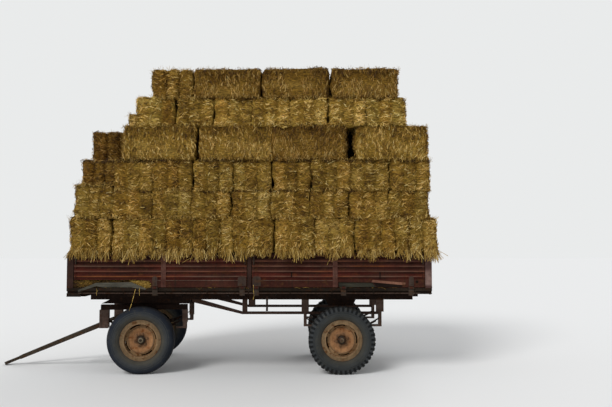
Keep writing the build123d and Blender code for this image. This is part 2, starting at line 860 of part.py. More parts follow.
for side, side_name in ((-1, "left"), (1, "right")):
    spring = leaf_spring(
        bogie * Location((0, side * spring_y, 0)), -front_hanger_reach, front_hanger_reach, 0
    )
    spring.part.label = f"spring_front_{side_name}"
    export_step(spring.part, f"parts/spring_front_{side_name}.step")

# Drawbar pins on the bogie's front hangers
pin_length = drawbar_leg_gap + drawbar_leg_size + drawbar_pin_tail
with BuildPart() as drawbar_pins:
    for side in (-1, 1):
        middle = side * (hanger_inner - pin_length / 2)
        with BuildSketch(on(bogie, Plane.XZ.offset(-middle - pin_length / 2))):
            with Locations((-drawbar_pivot_reach, drawbar_pivot_height)):
                Circle(drawbar_pin_radius)
        extrude(amount=pin_length)
drawbar_pins.part.label = "drawbar_pins"
export_step(drawbar_pins.part, "parts/drawbar_pins.step")

# Drawbar: legs from the pins to the neck, a crossbar between them, the neck with its eye.
# In its own frame the drawbar lies along -X from the pivot, with Z square to it.
neck_start = drawbar_length - towing_eye_radius - drawbar_neck_length
neck_half = drawbar_neck_width / 2
leg_end_y = neck_half - leg_half + leg_spread
leg_length = hypot(neck_start + neck_overlap, drawbar_pivot_half_width - leg_end_y)
leg_angle = degrees(atan2(drawbar_pivot_half_width - leg_end_y, neck_start + neck_overlap))


def neck_outline():
    """Plan of the neck, in the drawbar's own frame."""
    with BuildLine() as outline:
        Polyline(
            (-neck_start, -neck_half),
            (-neck_start, neck_half),
            (-eye_reach, neck_tip_width / 2),
            (-eye_reach, -neck_tip_width / 2),
            close=True,
        )
    make_face(outline.edges())


with BuildPart() as drawbar_legs:
    for side in (-1, 1):
        with BuildSketch(on(drawbar, Plane.XZ.offset(-side * drawbar_pivot_half_width - leg_half))):
            Circle(drawbar_boss_radius)
        extrude(amount=drawbar_leg_size)
        leg_place = drawbar * Location((0, side * drawbar_pivot_half_width, 0), (0, 0, side * leg_angle))
        with BuildSketch(on(leg_place, Plane.YZ.offset(-leg_length))):
            Rectangle(drawbar_leg_size, drawbar_leg_size)
        extrude(amount=leg_length)
    with BuildSketch(on(drawbar, Plane.XZ.offset(-beam_outer))):
        Circle(drawbar_pin_radius + running_clearance)
    extrude(amount=2 * beam_outer, mode=Mode.SUBTRACT)
    with BuildSketch(on(drawbar, Plane.XY.offset(-drawbar_leg_size))):
        with Locations((-neck_start - drawbar_neck_length, 0)):
            Rectangle(2 * drawbar_neck_length, 4 * drawbar_leg_size)
    extrude(amount=2 * drawbar_leg_size, mode=Mode.SUBTRACT)
    with BuildSketch(on(drawbar, Plane.XZ)):
        with Locations((-neck_start / 2, 0)):
            Rectangle(2 * drawbar_length, 2 * drawbar_leg_size)
    extrude(amount=leg_parting / 2, both=True, mode=Mode.SUBTRACT)
drawbar_legs.part.label = "drawbar_legs"
export_step(drawbar_legs.part, "parts/drawbar_legs.step")

leg_slope = (drawbar_pivot_half_width - leg_end_y) / (neck_start + neck_overlap)


def leg_inner_face(reach):
    """Half the room between the two legs, at a reach from the pivot."""
    return drawbar_pivot_half_width - reach * leg_slope - leg_half / cos(radians(leg_angle)) - seat_clearance


with BuildPart() as drawbar_crossbar:
    near = drawbar_crossbar_reach - crossbar_width / 2
    far = drawbar_crossbar_reach + crossbar_width / 2
    with BuildSketch(on(drawbar, Plane.XY.offset(-crossbar_depth / 2))):
        with BuildLine():
            Polyline(
                (-near, leg_inner_face(near)),
                (-far, leg_inner_face(far)),
                (-far, -leg_inner_face(far)),
                (-near, -leg_inner_face(near)),
                close=True,
            )
        make_face()
    extrude(amount=crossbar_depth)
drawbar_crossbar.part.label = "drawbar_crossbar"
export_step(drawbar_crossbar.part, "parts/drawbar_crossbar.step")

with BuildPart() as towing_eye:
    with BuildSketch(on(drawbar, Plane.XY.offset(-towing_eye_thickness / 2))):
        neck_outline()
        with Locations((-eye_reach, 0)):
            Circle(towing_eye_radius)
            Circle(towing_eye_bore, mode=Mode.SUBTRACT)
    extrude(amount=towing_eye_thickness)
towing_eye.part.label = "towing_eye"
export_step(towing_eye.part, "parts/towing_eye.step")


# Wheels. In a wheel's own frame +Z is the axle line, pointing away from the wagon.
def wheel_section(place):
    """The wheel's half-section plane: radius along its first axis, outwards along its second."""
    return on(place, Plane((0, 0, 0), x_dir=(1, 0, 0), z_dir=(0, -1, 0)))


def tyre_seat():
    """Corners of the tyre between the rim's flanges, from the inner sidewall to the outer one."""
    seat = rim_width / 2 - flange_thickness - seat_clearance
    bead = bead_radius + seat_clearance
    flange = rim_flange_radius + bead_height
    return (flange, -seat), (bead, -seat), (bead, seat), (flange, seat)


def smooth_tyre(place):
    """A worn tyre with bulging sidewalls and round shoulders."""
    half = tyre_width / 2
    shoulder = smooth_shoulder_width / 2
    tread = smooth_tread_width / 2
    with BuildPart() as body:
        with BuildSketch(wheel_section(place)):
            with BuildLine():
                corners = tyre_seat()
                Polyline(*corners)
                for side, bead in ((-1, corners[0]), (1, corners[-1])):
                    edge = (smooth_shoulder_radius, side * shoulder)
                    ThreePointArc(bead, (bulge_radius, side * half), edge)
                    TangentArc((tyre_radius, side * tread), edge, tangent=(0, side))
                Line((tyre_radius, tread), (tyre_radius, -tread))
            make_face()
        revolve(axis=axis_along(place, (0, 0, 1)))
    return body


def lugged_tyre(place):
    """A tyre with a row of lugs round each shoulder and a plain rib between them."""
    half = tyre_width / 2
    top = carcass_top_width / 2
    foot = carcass_foot_width / 2
    rib = centre_rib_width / 2
    lug_top = sqrt(tyre_radius**2 - (lug_width / 2) ** 2)
    with BuildPart() as body:
        with BuildSketch(wheel_section(place)):
            with BuildLine():
                corners = tyre_seat()
                Polyline(*corners)
                for side, bead in ((-1, corners[0]), (1, corners[-1])):
                    ThreePointArc(bead, (bulge_radius, side * half), (carcass_foot_radius, side * foot))
                    Polyline(
                        (carcass_foot_radius, side * foot),
                        (lug_root_radius, side * top),
                        (lug_root_radius, side * rib),
                        (centre_rib_radius, side * rib),
                    )
                Line((centre_rib_radius, rib), (centre_rib_radius, -rib))
            make_face()
        revolve(axis=axis_along(place, (0, 0, 1)))
        for side in (-1, 1):
            turns = [(index + side / 4) * 360 / lug_count for index in range(lug_count)]
            planes = [wheel_section(place * Location((0, 0, 0), (0, 0, turn))) for turn in turns]
            with BuildSketch(*planes):
                with BuildLine():
                    Polyline(
                        (lug_root_radius - lug_seat, side * lug_start),
                        (lug_top, side * lug_start),
                        (lug_top, side * lug_top_width / 2),
                        (lug_foot_radius, side * lug_foot_width / 2),
                        (lug_foot_radius, side * (foot - lug_seat)),
                        close=True,
                    )
                make_face()
            extrude(amount=lug_width / 2, both=True)
    return body


slot_path = CenterArc((0, 0), slot_radius, -slot_span / 2, slot_span)


def rim(place, slot_turn):
    """A rim with two flanges and a dished disc with crescent slots near its edge."""
    half = rim_width / 2
    inner = bead_radius - rim_wall
    hole = hub_cap_radius + hub_cap_gap
    disc_face = (
        (inner, disc_edge),
        (disc_crest_radius, disc_crest),
        (disc_dish_radius, disc_dish),
        (hole, disc_dish),
    )
    disc_back = [(radius, level - disc_thickness) for radius, level in reversed(disc_face)]
    with BuildPart() as body:
        with BuildSketch(wheel_section(place)):
            with BuildLine():
                Polyline(
                    (inner, -half),
                    (rim_flange_radius, -half),
                    (rim_flange_radius, flange_thickness - half),
                    (bead_radius, flange_thickness - half),
                    (bead_radius, half - flange_thickness),
                    (rim_flange_radius, half - flange_thickness),
                    (rim_flange_radius, half),
                    (inner, half),
                    *disc_face,
                    *disc_back,
                    close=True,
                )
            make_face()
        revolve(axis=axis_along(place, (0, 0, 1)))
        with BuildSketch(on(place, Plane.XY.offset(disc_edge - 2 * disc_thickness))):
            with PolarLocations(0, 4, slot_turn):
                SlotArc(slot_path, slot_width)
        extrude(amount=disc_crest - disc_edge + 2 * disc_thickness, mode=Mode.SUBTRACT)
    return body


def hub(place):
    """A hub with its flange behind the disc and a domed cap in front of it."""
    flange_top = disc_dish - disc_thickness - seat_clearance
    bore_end = spindle_tip + spindle_tip_gap
    bore = spindle_radius + running_clearance
    with BuildPart() as body:
        with BuildSketch(wheel_section(place)):
            with BuildLine():
                Polyline(
                    (bore, bore_end),
                    (bore, -hub_back),
                    (hub_radius, -hub_back),
                    (hub_radius, flange_top - hub_flange_thickness),
                    (hub_flange_radius, flange_top - hub_flange_thickness),
                    (hub_flange_radius, flange_top),
                    (hub_cap_radius, flange_top),
                    (hub_cap_radius, hub_cap_height),
                )
                start = degrees(acos(hub_cap_radius / hub_cap_dome))
                centre = (0, hub_cap_height - hub_cap_dome * sin(radians(start)))
                cap = CenterArc(centre, hub_cap_dome, start, 90 - start)
                Polyline(cap @ 1, (0, bore_end), (bore, bore_end))
            make_face()
        revolve(axis=axis_along(place, (0, 0, 1)))
    return body


wheel_places = {}
for group, place in (("front", bogie), ("rear", rear_axle_place)):
    for side, side_name in ((-1, "left"), (1, "right")):
        wheel_places[f"{group}_{side_name}"] = place * Location(
            (0, side * track / 2, axle_height), (-side * 90, 0, 0)
        )
for wheel_name, place in wheel_places.items():
    group = wheel_name.split("_")[0]
    pieces = {
        "tyre": smooth_tyre(place) if group == "front" else lugged_tyre(place),
        "rim": rim(place, slot_turns[group]),
        "hub": hub(place),
    }
    for kind, piece in pieces.items():
        piece.part.label = f"{kind}_{wheel_name}"
        export_step(piece.part, f"parts/{kind}_{wheel_name}.step")

# Bales: box-like blocks with cut corners, side by side in each course
course_bottoms = [floor_top, gate_top + load_clearance]
for height in course_heights:
    course_bottoms.append(course_bottoms[-1] + height)


def bales(run):
    """The bales of one run: X along the wagon, rows across it."""
    course, front, rear, lie, left_inset, bottom_rise, top_rise = run
    width = box_load_width if course == 0 else load_width
    size_x, size_y = (bale_width, bale_length) if lie == "end" else (bale_length, bale_width)
    along = max(1, round((rear - front) / size_x))
    rows = max(1, round((width - left_inset) / size_y))
    bottom = course_bottoms[course] + bottom_rise + seat_clearance
    height = course_bottoms[course + 1] + top_rise - bottom
    pitch_x = (rear - front) / along
    pitch_y = (width - left_inset) / rows
    length_x = pitch_x - bale_gap
    length_y = pitch_y - bale_gap
    for row in range(rows):
        y = left_inset - width / 2 + (row + 0.5) * pitch_y
        for index in range(along):
            x = bed_front + front + (index + 0.5) * pitch_x
            if lie == "end":
                with BuildSketch(Plane.XZ.offset(-y - length_y / 2)) as end:
                    with Locations((x, bottom + height / 2)):
                        Rectangle(length_x, height)
                    chamfer(end.vertices(), bale_corner)
                extrude(end.sketch, amount=length_y)
            else:
                with BuildSketch(Plane.YZ.offset(x - length_x / 2)) as end:
                    with Locations((y, bottom + height / 2)):
                        Rectangle(length_y, height)
                    chamfer(end.vertices(), bale_corner)
                extrude(end.sketch, amount=length_x)


for course in range(len(course_heights) + 1):
    with BuildPart() as course_part:
        for run in load_runs:
            if run[0] == course:
                bales(run)
    course_part.part.label = f"bales_{course}"
    export_step(course_part.part, f"parts/bales_{course}.step")

# Joint places, in metres, for the people who write the joints down
print("kingpin", kingpin_x / 1000)
print("drawbar pivot", [round(v / 1000, 5) for v in drawbar.position])
for wheel_name, place in wheel_places.items():
    print("wheel", wheel_name, [round(v / 1000, 5) for v in place.position])
print("gate hinge y, z", hinge_y / 1000, hinge_height / 1000)
print("tailgate hinge x", (bed_rear + hinge_offset) / 1000)
print("towing eye", [round(v / 1000, 5) for v in (drawbar * Location((-eye_reach, 0, 0))).position])
print("drawbar slope", round(drawbar_slope, 3))
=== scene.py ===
import json
import math
import bpy
import numpy as np
from mathutils import Matrix, Vector


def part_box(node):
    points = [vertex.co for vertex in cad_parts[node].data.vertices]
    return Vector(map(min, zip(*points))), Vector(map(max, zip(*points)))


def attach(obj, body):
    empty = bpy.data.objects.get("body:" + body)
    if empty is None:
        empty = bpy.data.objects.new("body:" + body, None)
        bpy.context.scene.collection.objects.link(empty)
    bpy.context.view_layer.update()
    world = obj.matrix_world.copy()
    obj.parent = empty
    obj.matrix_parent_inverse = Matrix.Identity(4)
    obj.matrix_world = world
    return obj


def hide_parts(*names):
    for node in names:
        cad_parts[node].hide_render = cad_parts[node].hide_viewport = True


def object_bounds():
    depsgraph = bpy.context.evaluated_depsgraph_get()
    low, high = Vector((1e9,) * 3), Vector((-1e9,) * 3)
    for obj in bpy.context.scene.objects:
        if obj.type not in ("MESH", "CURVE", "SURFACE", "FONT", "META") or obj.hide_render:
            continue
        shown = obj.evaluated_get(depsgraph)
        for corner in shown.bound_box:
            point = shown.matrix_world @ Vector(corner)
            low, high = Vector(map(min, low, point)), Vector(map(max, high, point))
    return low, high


# Hay wagon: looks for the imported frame. Lengths in metres, +X to the rear, -Y the left side, +Z up.

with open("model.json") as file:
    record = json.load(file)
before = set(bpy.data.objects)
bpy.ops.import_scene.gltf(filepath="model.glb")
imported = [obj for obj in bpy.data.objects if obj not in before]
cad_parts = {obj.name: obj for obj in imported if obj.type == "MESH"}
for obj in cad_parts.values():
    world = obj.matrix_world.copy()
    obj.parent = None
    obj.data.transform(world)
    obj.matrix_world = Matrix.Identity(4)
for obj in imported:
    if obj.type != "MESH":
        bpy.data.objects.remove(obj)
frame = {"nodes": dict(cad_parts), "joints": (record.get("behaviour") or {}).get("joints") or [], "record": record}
nodes = frame["nodes"]
cad_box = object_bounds()
rng = np.random.default_rng(20)


def axes(outwards):
    """Three axes at right angles: the third runs outwards, the second upwards."""
    z = Vector(outwards).normalized()
    x = Vector((0, 0, 1)).cross(z).normalized()
    return x, z.cross(x), z


def facing(place, outwards):
    """A frame at a place whose Z runs outwards and whose Y runs up."""
    matrix = Matrix(axes(outwards)).transposed().to_4x4()
    matrix.translation = Vector(place)
    return matrix


# Where things of the frame are
rail_lo, rail_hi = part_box("side_rails")
bed_front = rail_lo.x
bed_rear = rail_hi.x
bed_side = rail_hi.y
floor_top = rail_hi.z
beam_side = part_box("main_beams")[1].y
joist_lo, joist_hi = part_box("cross_joists")
gate_box = {name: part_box(name) for name in nodes if name.startswith("gate_")}
joints = {joint["name"]: joint for joint in frame["joints"]}
wheels = []
for joint_name, joint in joints.items():
    if joint_name.endswith("_spin"):
        centre, axis = Vector(joint["pos_m"]), Vector(joint["axis"])
        wheels.append((joint["child"], centre, -axis if axis.y * centre.y < 0 else axis))


# Materials

class Shading:
    """The nodes of one material, or of the world."""

    def __init__(self, name, owner, shader):
        owner.use_nodes = True
        self.name = name
        self.owner = owner
        self.tree = owner.node_tree
        self.shader = self.tree.nodes[shader]

    def set(self, node, inputs):
        """Gives each input of a node a value, or a link from another node's output."""
        for key, value in inputs.items():
            if isinstance(value, bpy.types.NodeSocket):
                self.tree.links.new(value, node.inputs[key])
            elif value is not None:
                node.inputs[key].default_value = value
        return node

    def add(self, kind, inputs=None, **settings):
        """A new node."""
        node = self.tree.nodes.new("ShaderNode" + kind)
        for key, value in settings.items():
            setattr(node, key, value)
        return self.set(node, inputs or {})

    def place(self):
        """Object coordinates."""
        return self.add("TexCoord").outputs["Object"]

    def part(self, vector, axis):
        """One coordinate of a vector."""
        return self.add("SeparateXYZ", {0: vector}).outputs[axis]

    def noise(self, scale, detail=5.0, rough=0.55, stretch=(1, 1, 1), shift=(0, 0, 0)):
        """A noise value from 0 to 1 over the object."""
        where = self.add("Mapping", {"Scale": stretch, "Location": shift, "Vector": self.place()})
        return self.add("TexNoise", {
            "Scale": scale, "Detail": detail, "Roughness": rough, "Vector": where.outputs["Vector"],
        }).outputs["Fac"]

    def ramp(self, value, stops):
        """Colours from a value, through (place, colour) stops. A colour may be one number."""
        node = self.add("ValToRGB", {"Fac": value})
        elements = node.color_ramp.elements
        while len(elements) < len(stops):
            elements.new(0.5)
        for element, (place, colour) in zip(elements, stops):
            element.position = place
            element.color = (*colour, 1) if isinstance(colour, tuple) else (colour, colour, colour, 1)
        return node.outputs["Color"]

    def mix(self, factor, low, high, blend="MIX"):
        """One colour over another, by a factor that may be a number or a value."""
        low, high = ((*colour, 1) if isinstance(colour, tuple) else colour for colour in (low, high))
        inputs = {"Factor": factor, 6: low, 7: high}
        return self.add("Mix", inputs, data_type="RGBA", blend_type=blend).outputs[2]

    def times(self, low, high):
        """One colour times another."""
        return self.mix(1.0, low, high, "MULTIPLY")

    def maths(self, operation, first, second=None, third=0.5):
        """A math node on values or numbers."""
        inputs = {0: first, 1: second, 2: third}
        return self.add("Math", inputs, operation=operation).outputs[0]

    def colour(self, value):
        """Colours the shader."""
        self.set(self.shader, {"Base Color": value})

    def base(self):
        """What colours the shader so far."""
        return self.shader.inputs["Base Color"].links[0].from_socket

    def bump(self, height, strength, distance):
        """Bumps the shader by a height value."""
        node = self.add("Bump", {"Strength": strength, "Distance": distance, "Height": height})
        self.set(self.shader, {"Normal": node.outputs["Normal"]})

    def about_axle(self, centre, axis):
        """Distance from an axle and angle round it."""
        where = self.place()
        local = []
        for direction in axes(axis)[:2]:
            dot = self.add("VectorMath", {0: where, 1: direction}, operation="DOT_PRODUCT")
            local.append(self.maths("SUBTRACT", dot.outputs["Value"], centre.dot(direction)))
        x, y = local
        squares = self.maths("ADD", self.maths("MULTIPLY", x, x), self.maths("MULTIPLY", y, y))
        return self.maths("SQRT", squares), self.maths("ARCTAN2", y, x)

    def radial(self, radius, bands):
        """Colours by distance from an axle, from (radius, colour) rows."""
        share = self.maths("DIVIDE", radius, wall_reach)
        return self.ramp(share, [(r / wall_reach, colour) for r, colour in bands])


wall_reach = 0.42
lug_count = 42


def new_material(name, roughness, specular):
    """The nodes of a new material."""
    m = Shading(name, bpy.data.materials.new(name), "Principled BSDF")
    m.set(m.shader, {"Roughness": roughness, "Specular IOR Level": specular})
    return m


def rusty(name, amount, roughness, specular, *tones):
    """Old paint: faded patches, rust blotches, streaks of dirt, and dust on what faces up."""
    m = new_material(name, roughness, specular)
    paint, faded, rust, dirt, *dust = (tuple(c / 1000 for c in tone) for tone in tones)
    fade = m.ramp(m.noise(2.6, 6.0, 0.6, (1, 1, 3.5)), ((0.36, paint), (0.66, faded)))
    fine = m.ramp(m.noise(42.0, 8.0, 0.7), ((0.3, 0.72), (0.7, 1.22)))
    edge = 0.64 - 0.2 * amount
    spots = m.ramp(m.noise(11.0, 9.0, 0.68, (1, 1, 1.6)), ((edge, 0.0), (edge + 0.07, 1.0)))
    dark_rust = tuple(0.55 * c for c in rust)
    rust_tone = m.ramp(m.noise(60.0, 6.0, 0.7), ((0.3, dark_rust), (0.7, rust)))
    streaks = m.ramp(m.noise(8.0, 6.0, 0.62, (5, 5, 0.5)), ((0.5, 0.0), (0.72, 0.75)))
    base = m.mix(streaks, m.mix(spots, m.times(fade, fine), rust_tone), dirt)
    if dust:
        upwards = m.part(m.add("NewGeometry").outputs["Normal"], 2)
        lying = m.maths("MULTIPLY", upwards, m.noise(9.0, 5.0, 0.6))
        base = m.mix(m.ramp(lying, ((0.25, 0.0), (0.6, 0.8))), base, dust[0])
    m.colour(base)
    low, high = roughness - 0.14, min(1, roughness + 0.14)
    m.set(m.shader, {"Roughness": m.ramp(m.noise(24.0, 6.0, 0.65), ((0.3, low), (0.7, high)))})
    m.bump(m.mix(0.5, m.noise(90.0, 8.0, 0.7), spots), 0.35, 0.003)
    return m


def weathered_wood(name, dark, light, along=(0.5, 9, 9)):
    """Grey boards with grain along X."""
    m = new_material(name, 0.85, 0.2)
    grain = m.noise(7.0, 9.0, 0.72, along)
    patches = m.ramp(m.noise(3.0), ((0.35, 0.6), (0.65, 1.1)))
    m.colour(m.times(m.ramp(grain, ((0.3, dark), (0.68, light))), patches))
    m.bump(grain, 0.5, 0.004)
    return m


def muddy(m, tone, dust, scale, top, most):
    """Rubber of one tone with dried mud on it, and its fine bumps."""
    mud = m.ramp(m.noise(scale, 9.0, 0.72, shift=(3, 1, 2)), ((0.54, 0.0), (top, most)))
    m.bump(m.noise(160.0, 6.0, 0.7), 0.35, 0.002)
    return m.mix(mud, tone, dust)


def rubber(name, dark, light, dust):
    """Old tyre rubber of two greys."""
    m = new_material(name, 0.82, 0.2)
    tone = m.ramp(m.noise(5.0, 8.0, 0.65), ((0.35, dark), (0.65, light)))
    m.colour(muddy(m, tone, dust, 17.0, 0.7, 0.7))
    return m


def wheel_rubber(name, centre, axis, bands, dust, phase):
    """Tyre rubber, dusty near the rim, dark at the shoulder, with painted shade between the lugs and a painted
    highlight on them if it has any.
    """
    m = new_material(name, 0.85, 0.08)
    radius, angle = m.about_axle(centre, axis)
    blotches = m.ramp(m.noise(6.0, 8.0, 0.65), ((0.3, 0.75), (0.7, 1.25)))
    tone = muddy(m, m.times(m.radial(radius, bands), blotches), dust, 15.0, 0.72, 0.55)
    if phase is not None:
        # Painted shade between the lugs and a painted highlight on them, by the angle round the axle
        wave = m.maths("COSINE", m.maths("SUBTRACT", m.maths("MULTIPLY", angle, lug_count), phase))
        lug_light_and_shade = m.ramp(m.maths("MULTIPLY_ADD", wave, 0.5), ((0.42, 0.35), (0.6, 1.5)))
        outer = m.radial(radius, ((0.343, 0.0), (0.352, 1.0)))
        tone = m.times(tone, m.mix(outer, (1.0, 1.0, 1.0), lug_light_and_shade))
    m.colour(tone)
    return m


def wheel_paint(name, centre, axis, bands):
    """Rusty wheel paint whose tone changes with the distance from the axle."""
    m = rusty(
        name, 0.5, 0.7, 0.1, (820, 780, 720), (1150, 1120, 1060), (720, 460, 280), (420, 380, 320),
    )
    m.colour(m.times(m.base(), m.radial(m.about_axle(centre, axis)[0], bands)))
    return m


def ribbed_paint(name, first, pitch):
    """The sides' paint: painted shade along each groove, a painted highlight along the rib's edge above it, and
    painted shadow under the bales' fringe towards the gate's top.
    """
    m = rusty(name, 0.45, 0.65, 0.07, (31, 7.5, 4.5), (56, 18, 11), (70, 26, 10), (16, 9, 6))
    base = m.base()
    height = m.part(m.place(), 2)
    wobble = m.maths("MULTIPLY", m.maths("SUBTRACT", m.noise(1.4, 3.0, 0.5), 0.5), 0.012)
    steps = m.maths("DIVIDE", m.maths("SUBTRACT", m.maths("ADD", height, wobble), first), pitch)
    phase = m.maths("FRACT", steps)
    # Painted shade in each groove, lighter over the rib
    bands = m.ramp(phase, ((0.0, 0.5), (0.16, 0.8), (0.32, 1.0), (0.48, 0.9), (0.86, 0.8), (1.0, 0.5)))
    # A painted highlight along each rib's edge above its groove, in patches
    painted_light_mask = m.maths(
        "MULTIPLY", m.ramp(phase, ((0.2, 0.0), (0.31, 0.9), (0.42, 0.6), (0.55, 0.0))),
        m.ramp(m.noise(7.0, 7.0, 0.65, (0.5, 1, 1)), ((0.35, 0.25), (0.6, 1.0))),
    )
    rib_highlight_tone = m.ramp(m.noise(1.3, 2.0, 0.5, (1, 1, 9)), (
        (0.38, (0.12, 0.072, 0.05)), (0.5, (0.14, 0.058, 0.038)), (0.62, (0.2, 0.066, 0.022)),
    ))
    reds = m.ramp(m.noise(1.7, 2.0, 0.5, (1, 1, 7), (3, 0, 0)), ((0.45, (1, 1, 1)), (0.62, (1.6, 1.0, 0.95))))
    ribs = m.mix(painted_light_mask, m.times(m.times(base, reds), bands), rib_highlight_tone)
    above = m.maths("GREATER_THAN", height, first - 0.015)
    # Painted shadow under the bales' fringe, darker towards the gate's top
    shade = m.ramp(m.maths("SUBTRACT", height, 1.0), ((0.34, 1.0), (0.42, 0.42)))
    m.colour(m.times(m.mix(above, base, ribs), shade))
    return m


def paint_light_on_rear_posts(m):
    """Makes the rear posts paler than the others, most of all over their lower half, in patches: painted light."""
    place = m.place()
    # The painted light, by height over the floor
    pale = m.ramp(m.maths("SUBTRACT", m.part(place, 2), floor_top), (
        (0.02, (0.06, 0.03, 0.026)), (0.05, (0.2, 0.128, 0.108)), (0.17, (0.17, 0.105, 0.088)),
        (0.22, (0.075, 0.04, 0.034)),
    ))
    painted_light_mask = m.ramp(m.noise(14.0, 6.0, 0.65), ((0.35, 0.55), (0.55, 1.0)))
    rear = m.maths("GREATER_THAN", m.part(place, 0), bed_rear - 0.15)
    m.colour(m.mix(m.maths("MULTIPLY", rear, painted_light_mask), m.base(), pale))


def straw_painting(name, roughness, specular, noise, stops, bump=None):
    """Straw of the tone painted on its points, broken up by a noise."""
    m = new_material(name, roughness, specular)
    tone = m.add("Attribute", attribute_name="straw_colour").outputs["Color"]
    value = m.noise(*noise)
    m.colour(m.times(tone, m.ramp(value, stops)))
    if bump:
        m.bump(value, *bump)
    return m


# Old paints. Columns: share of rust, roughness, shine, then in thousandths paint, faded, rust, dirt, dust
paints = (
    ("plain_side_paint", 0.45, 0.65, 0.07, (33, 9, 6), (60, 22, 14), (70, 27, 11), (16, 10, 7)),
    ("post_paint", 0.5, 0.65, 0.07, (26, 11, 8), (44, 22, 16), (55, 24, 12), (14, 9, 7)),
    ("stile_paint", 0.4, 0.62, 0.07, (60, 20, 14), (100, 45, 33), (85, 34, 16), (30, 17, 12)),
    ("worn_edge", 0.4, 0.6, 0.1, (85, 50, 36), (160, 105, 78), (90, 42, 20), (35, 22, 15)),
    ("strap_paint", 0.5, 0.65, 0.1, (36, 22, 16), (62, 40, 30), (70, 32, 15), (26, 18, 13)),
    ("rail_paint", 0.45, 0.75, 0.05, (10, 6.8, 4.5), (26, 18, 12), (32, 14, 7), (7, 5, 4), (60, 45, 28)),
    ("chassis_paint", 0.4, 0.75, 0.05, (13, 7, 5.2), (28, 16.5, 12), (45, 20, 10), (7, 5, 4), (50, 36, 22)),
    ("bracket_paint", 0.45, 0.7, 0.07, (85, 52, 39), (140, 95, 75), (110, 52, 27), (35, 24, 18),
     (100, 75, 50)),
    ("lug_paint", 0.45, 0.7, 0.07, (26, 18, 13), (52, 38, 28), (60, 28, 13), (14, 10, 7), (60, 45, 30)),
    ("torn_paint", 0.35, 0.65, 0.07, (120, 50, 32), (200, 95, 60), (120, 52, 26), (45, 22, 15)),
    ("truss_paint", 0.45, 0.7, 0.06, (50, 28, 21), (90, 56, 43), (80, 38, 20), (22, 15, 11), (80, 58, 37)),
    ("drawbar_paint", 0.5, 0.75, 0.07, (28, 19, 12), (50, 38, 26), (65, 32, 14), (16, 12, 8), (70, 55, 34)),
    ("wheel_paint", 0.5, 0.7, 0.1, (150, 85, 42), (200, 125, 66), (140, 60, 24), (70, 45, 25)),
    ("nut_paint", 0.5, 0.7, 0.1, (150, 78, 38), (200, 110, 55), (110, 50, 22), (60, 36, 20)),
    ("hub_iron", 0.5, 0.65, 0.15, (22, 13, 8), (42, 29, 18), (65, 28, 12), (13, 9, 6)),
    ("worn_steel", 0.4, 0.55, 0.2, (100, 78, 46), (170, 135, 85), (90, 45, 20), (35, 26, 18)),
    # Near black: painted shade behind the wheel discs' slots and in the torn band's gap, and the rear left gate's
    # dark marks
    ("hollow", 0.3, 0.9, 0.05, (8, 5, 4), (13, 8, 6), (20, 10, 6), (6, 4, 3)),
)
mud_colour = (0.075, 0.066, 0.046)
groove_height = 1.146
groove_pitch = 0.06
shadings = [rusty(*row) for row in paints] + [
    ribbed_paint("side_paint", groove_height, groove_pitch),
    weathered_wood("planks", (0.03, 0.022, 0.014), (0.12, 0.095, 0.065)),
    weathered_wood("weathered_strip", (0.016, 0.016, 0.011), (0.115, 0.105, 0.08), (1.0, 12, 16)),
    weathered_wood("mossy_strip", (0.010, 0.010, 0.007), (0.046, 0.042, 0.027), (1.0, 10, 14)),
    rubber("front_tyre_rubber", (0.03, 0.031, 0.031), (0.05, 0.05, 0.046), (0.075, 0.068, 0.05)),
    rubber("rear_tyre_rubber", (0.026, 0.027, 0.026), (0.045, 0.045, 0.04), mud_colour),
    straw_painting("straw", 0.68, 0.25, (70.0, 4.0, 0.6), ((0.3, 0.82), (0.7, 1.15))),
    straw_painting(
        "straw_core", 0.9, 0.1, (55.0, 9.0, 0.75, (0.45, 0.45, 1.6)),
        ((0.36, 0.12), (0.5, 0.6), (0.66, 1.35)), (1.0, 0.012),
    ),
]

# Wheels' tones by distance from the axle; the light tan rows from 0.163 to 0.1965 are painted light over the shade
# in the rim's well
disc_tones_and_light = (
    (0.0, (0.05, 0.032, 0.02)), (0.048, (0.06, 0.036, 0.02)), (0.075, (0.24, 0.125, 0.062)),
    (0.12, (0.33, 0.17, 0.078)), (0.152, (0.25, 0.14, 0.068)), (0.163, (0.40, 0.25, 0.13)),
    (0.19, (0.46, 0.31, 0.17)), (0.1965, (0.3, 0.2, 0.11)), (0.204, (0.165, 0.108, 0.058)),
    (0.24, (0.15, 0.105, 0.06)),
)
wall_bands = {
    "front": (
        (0.24, (0.085, 0.072, 0.05)), (0.27, (0.06, 0.056, 0.045)), (0.31, (0.038, 0.041, 0.043)),
        (0.35, (0.02, 0.024, 0.031)), (0.38, (0.014, 0.017, 0.024)), (0.4, (0.022, 0.022, 0.024)),
    ),
    "rear": (
        (0.24, (0.07, 0.06, 0.042)), (0.27, (0.045, 0.044, 0.038)), (0.31, (0.035, 0.038, 0.038)),
        (0.345, (0.028, 0.031, 0.033)), (0.38, (0.028, 0.03, 0.031)), (0.4, (0.032, 0.032, 0.031)),
    ),
}
lug_crest = 0.396
lug_out = 0.02


def tyre_points(body, matrix):
    """A tyre's points in the frame of its wheel, as rows of x, y and z."""
    inverse = np.array(matrix.inverted())
    co = np.array([tuple(v.co) for v in nodes[body.replace("wheel", "tyre")].data.vertices])
    return (co @ inverse[:3, :3].T + inverse[:3, 3]).T


def lug_phase(body, matrix):
    """The angle at which a tyre's outer lugs stand, as a phase of their count."""
    east, north, out = tyre_points(body, matrix)
    crest = (np.hypot(east, north) > lug_crest) & (out > lug_out)
    turns = np.arctan2(north[crest], east[crest]) * lug_count
    return float(np.angle(np.exp(1j * turns).sum()))


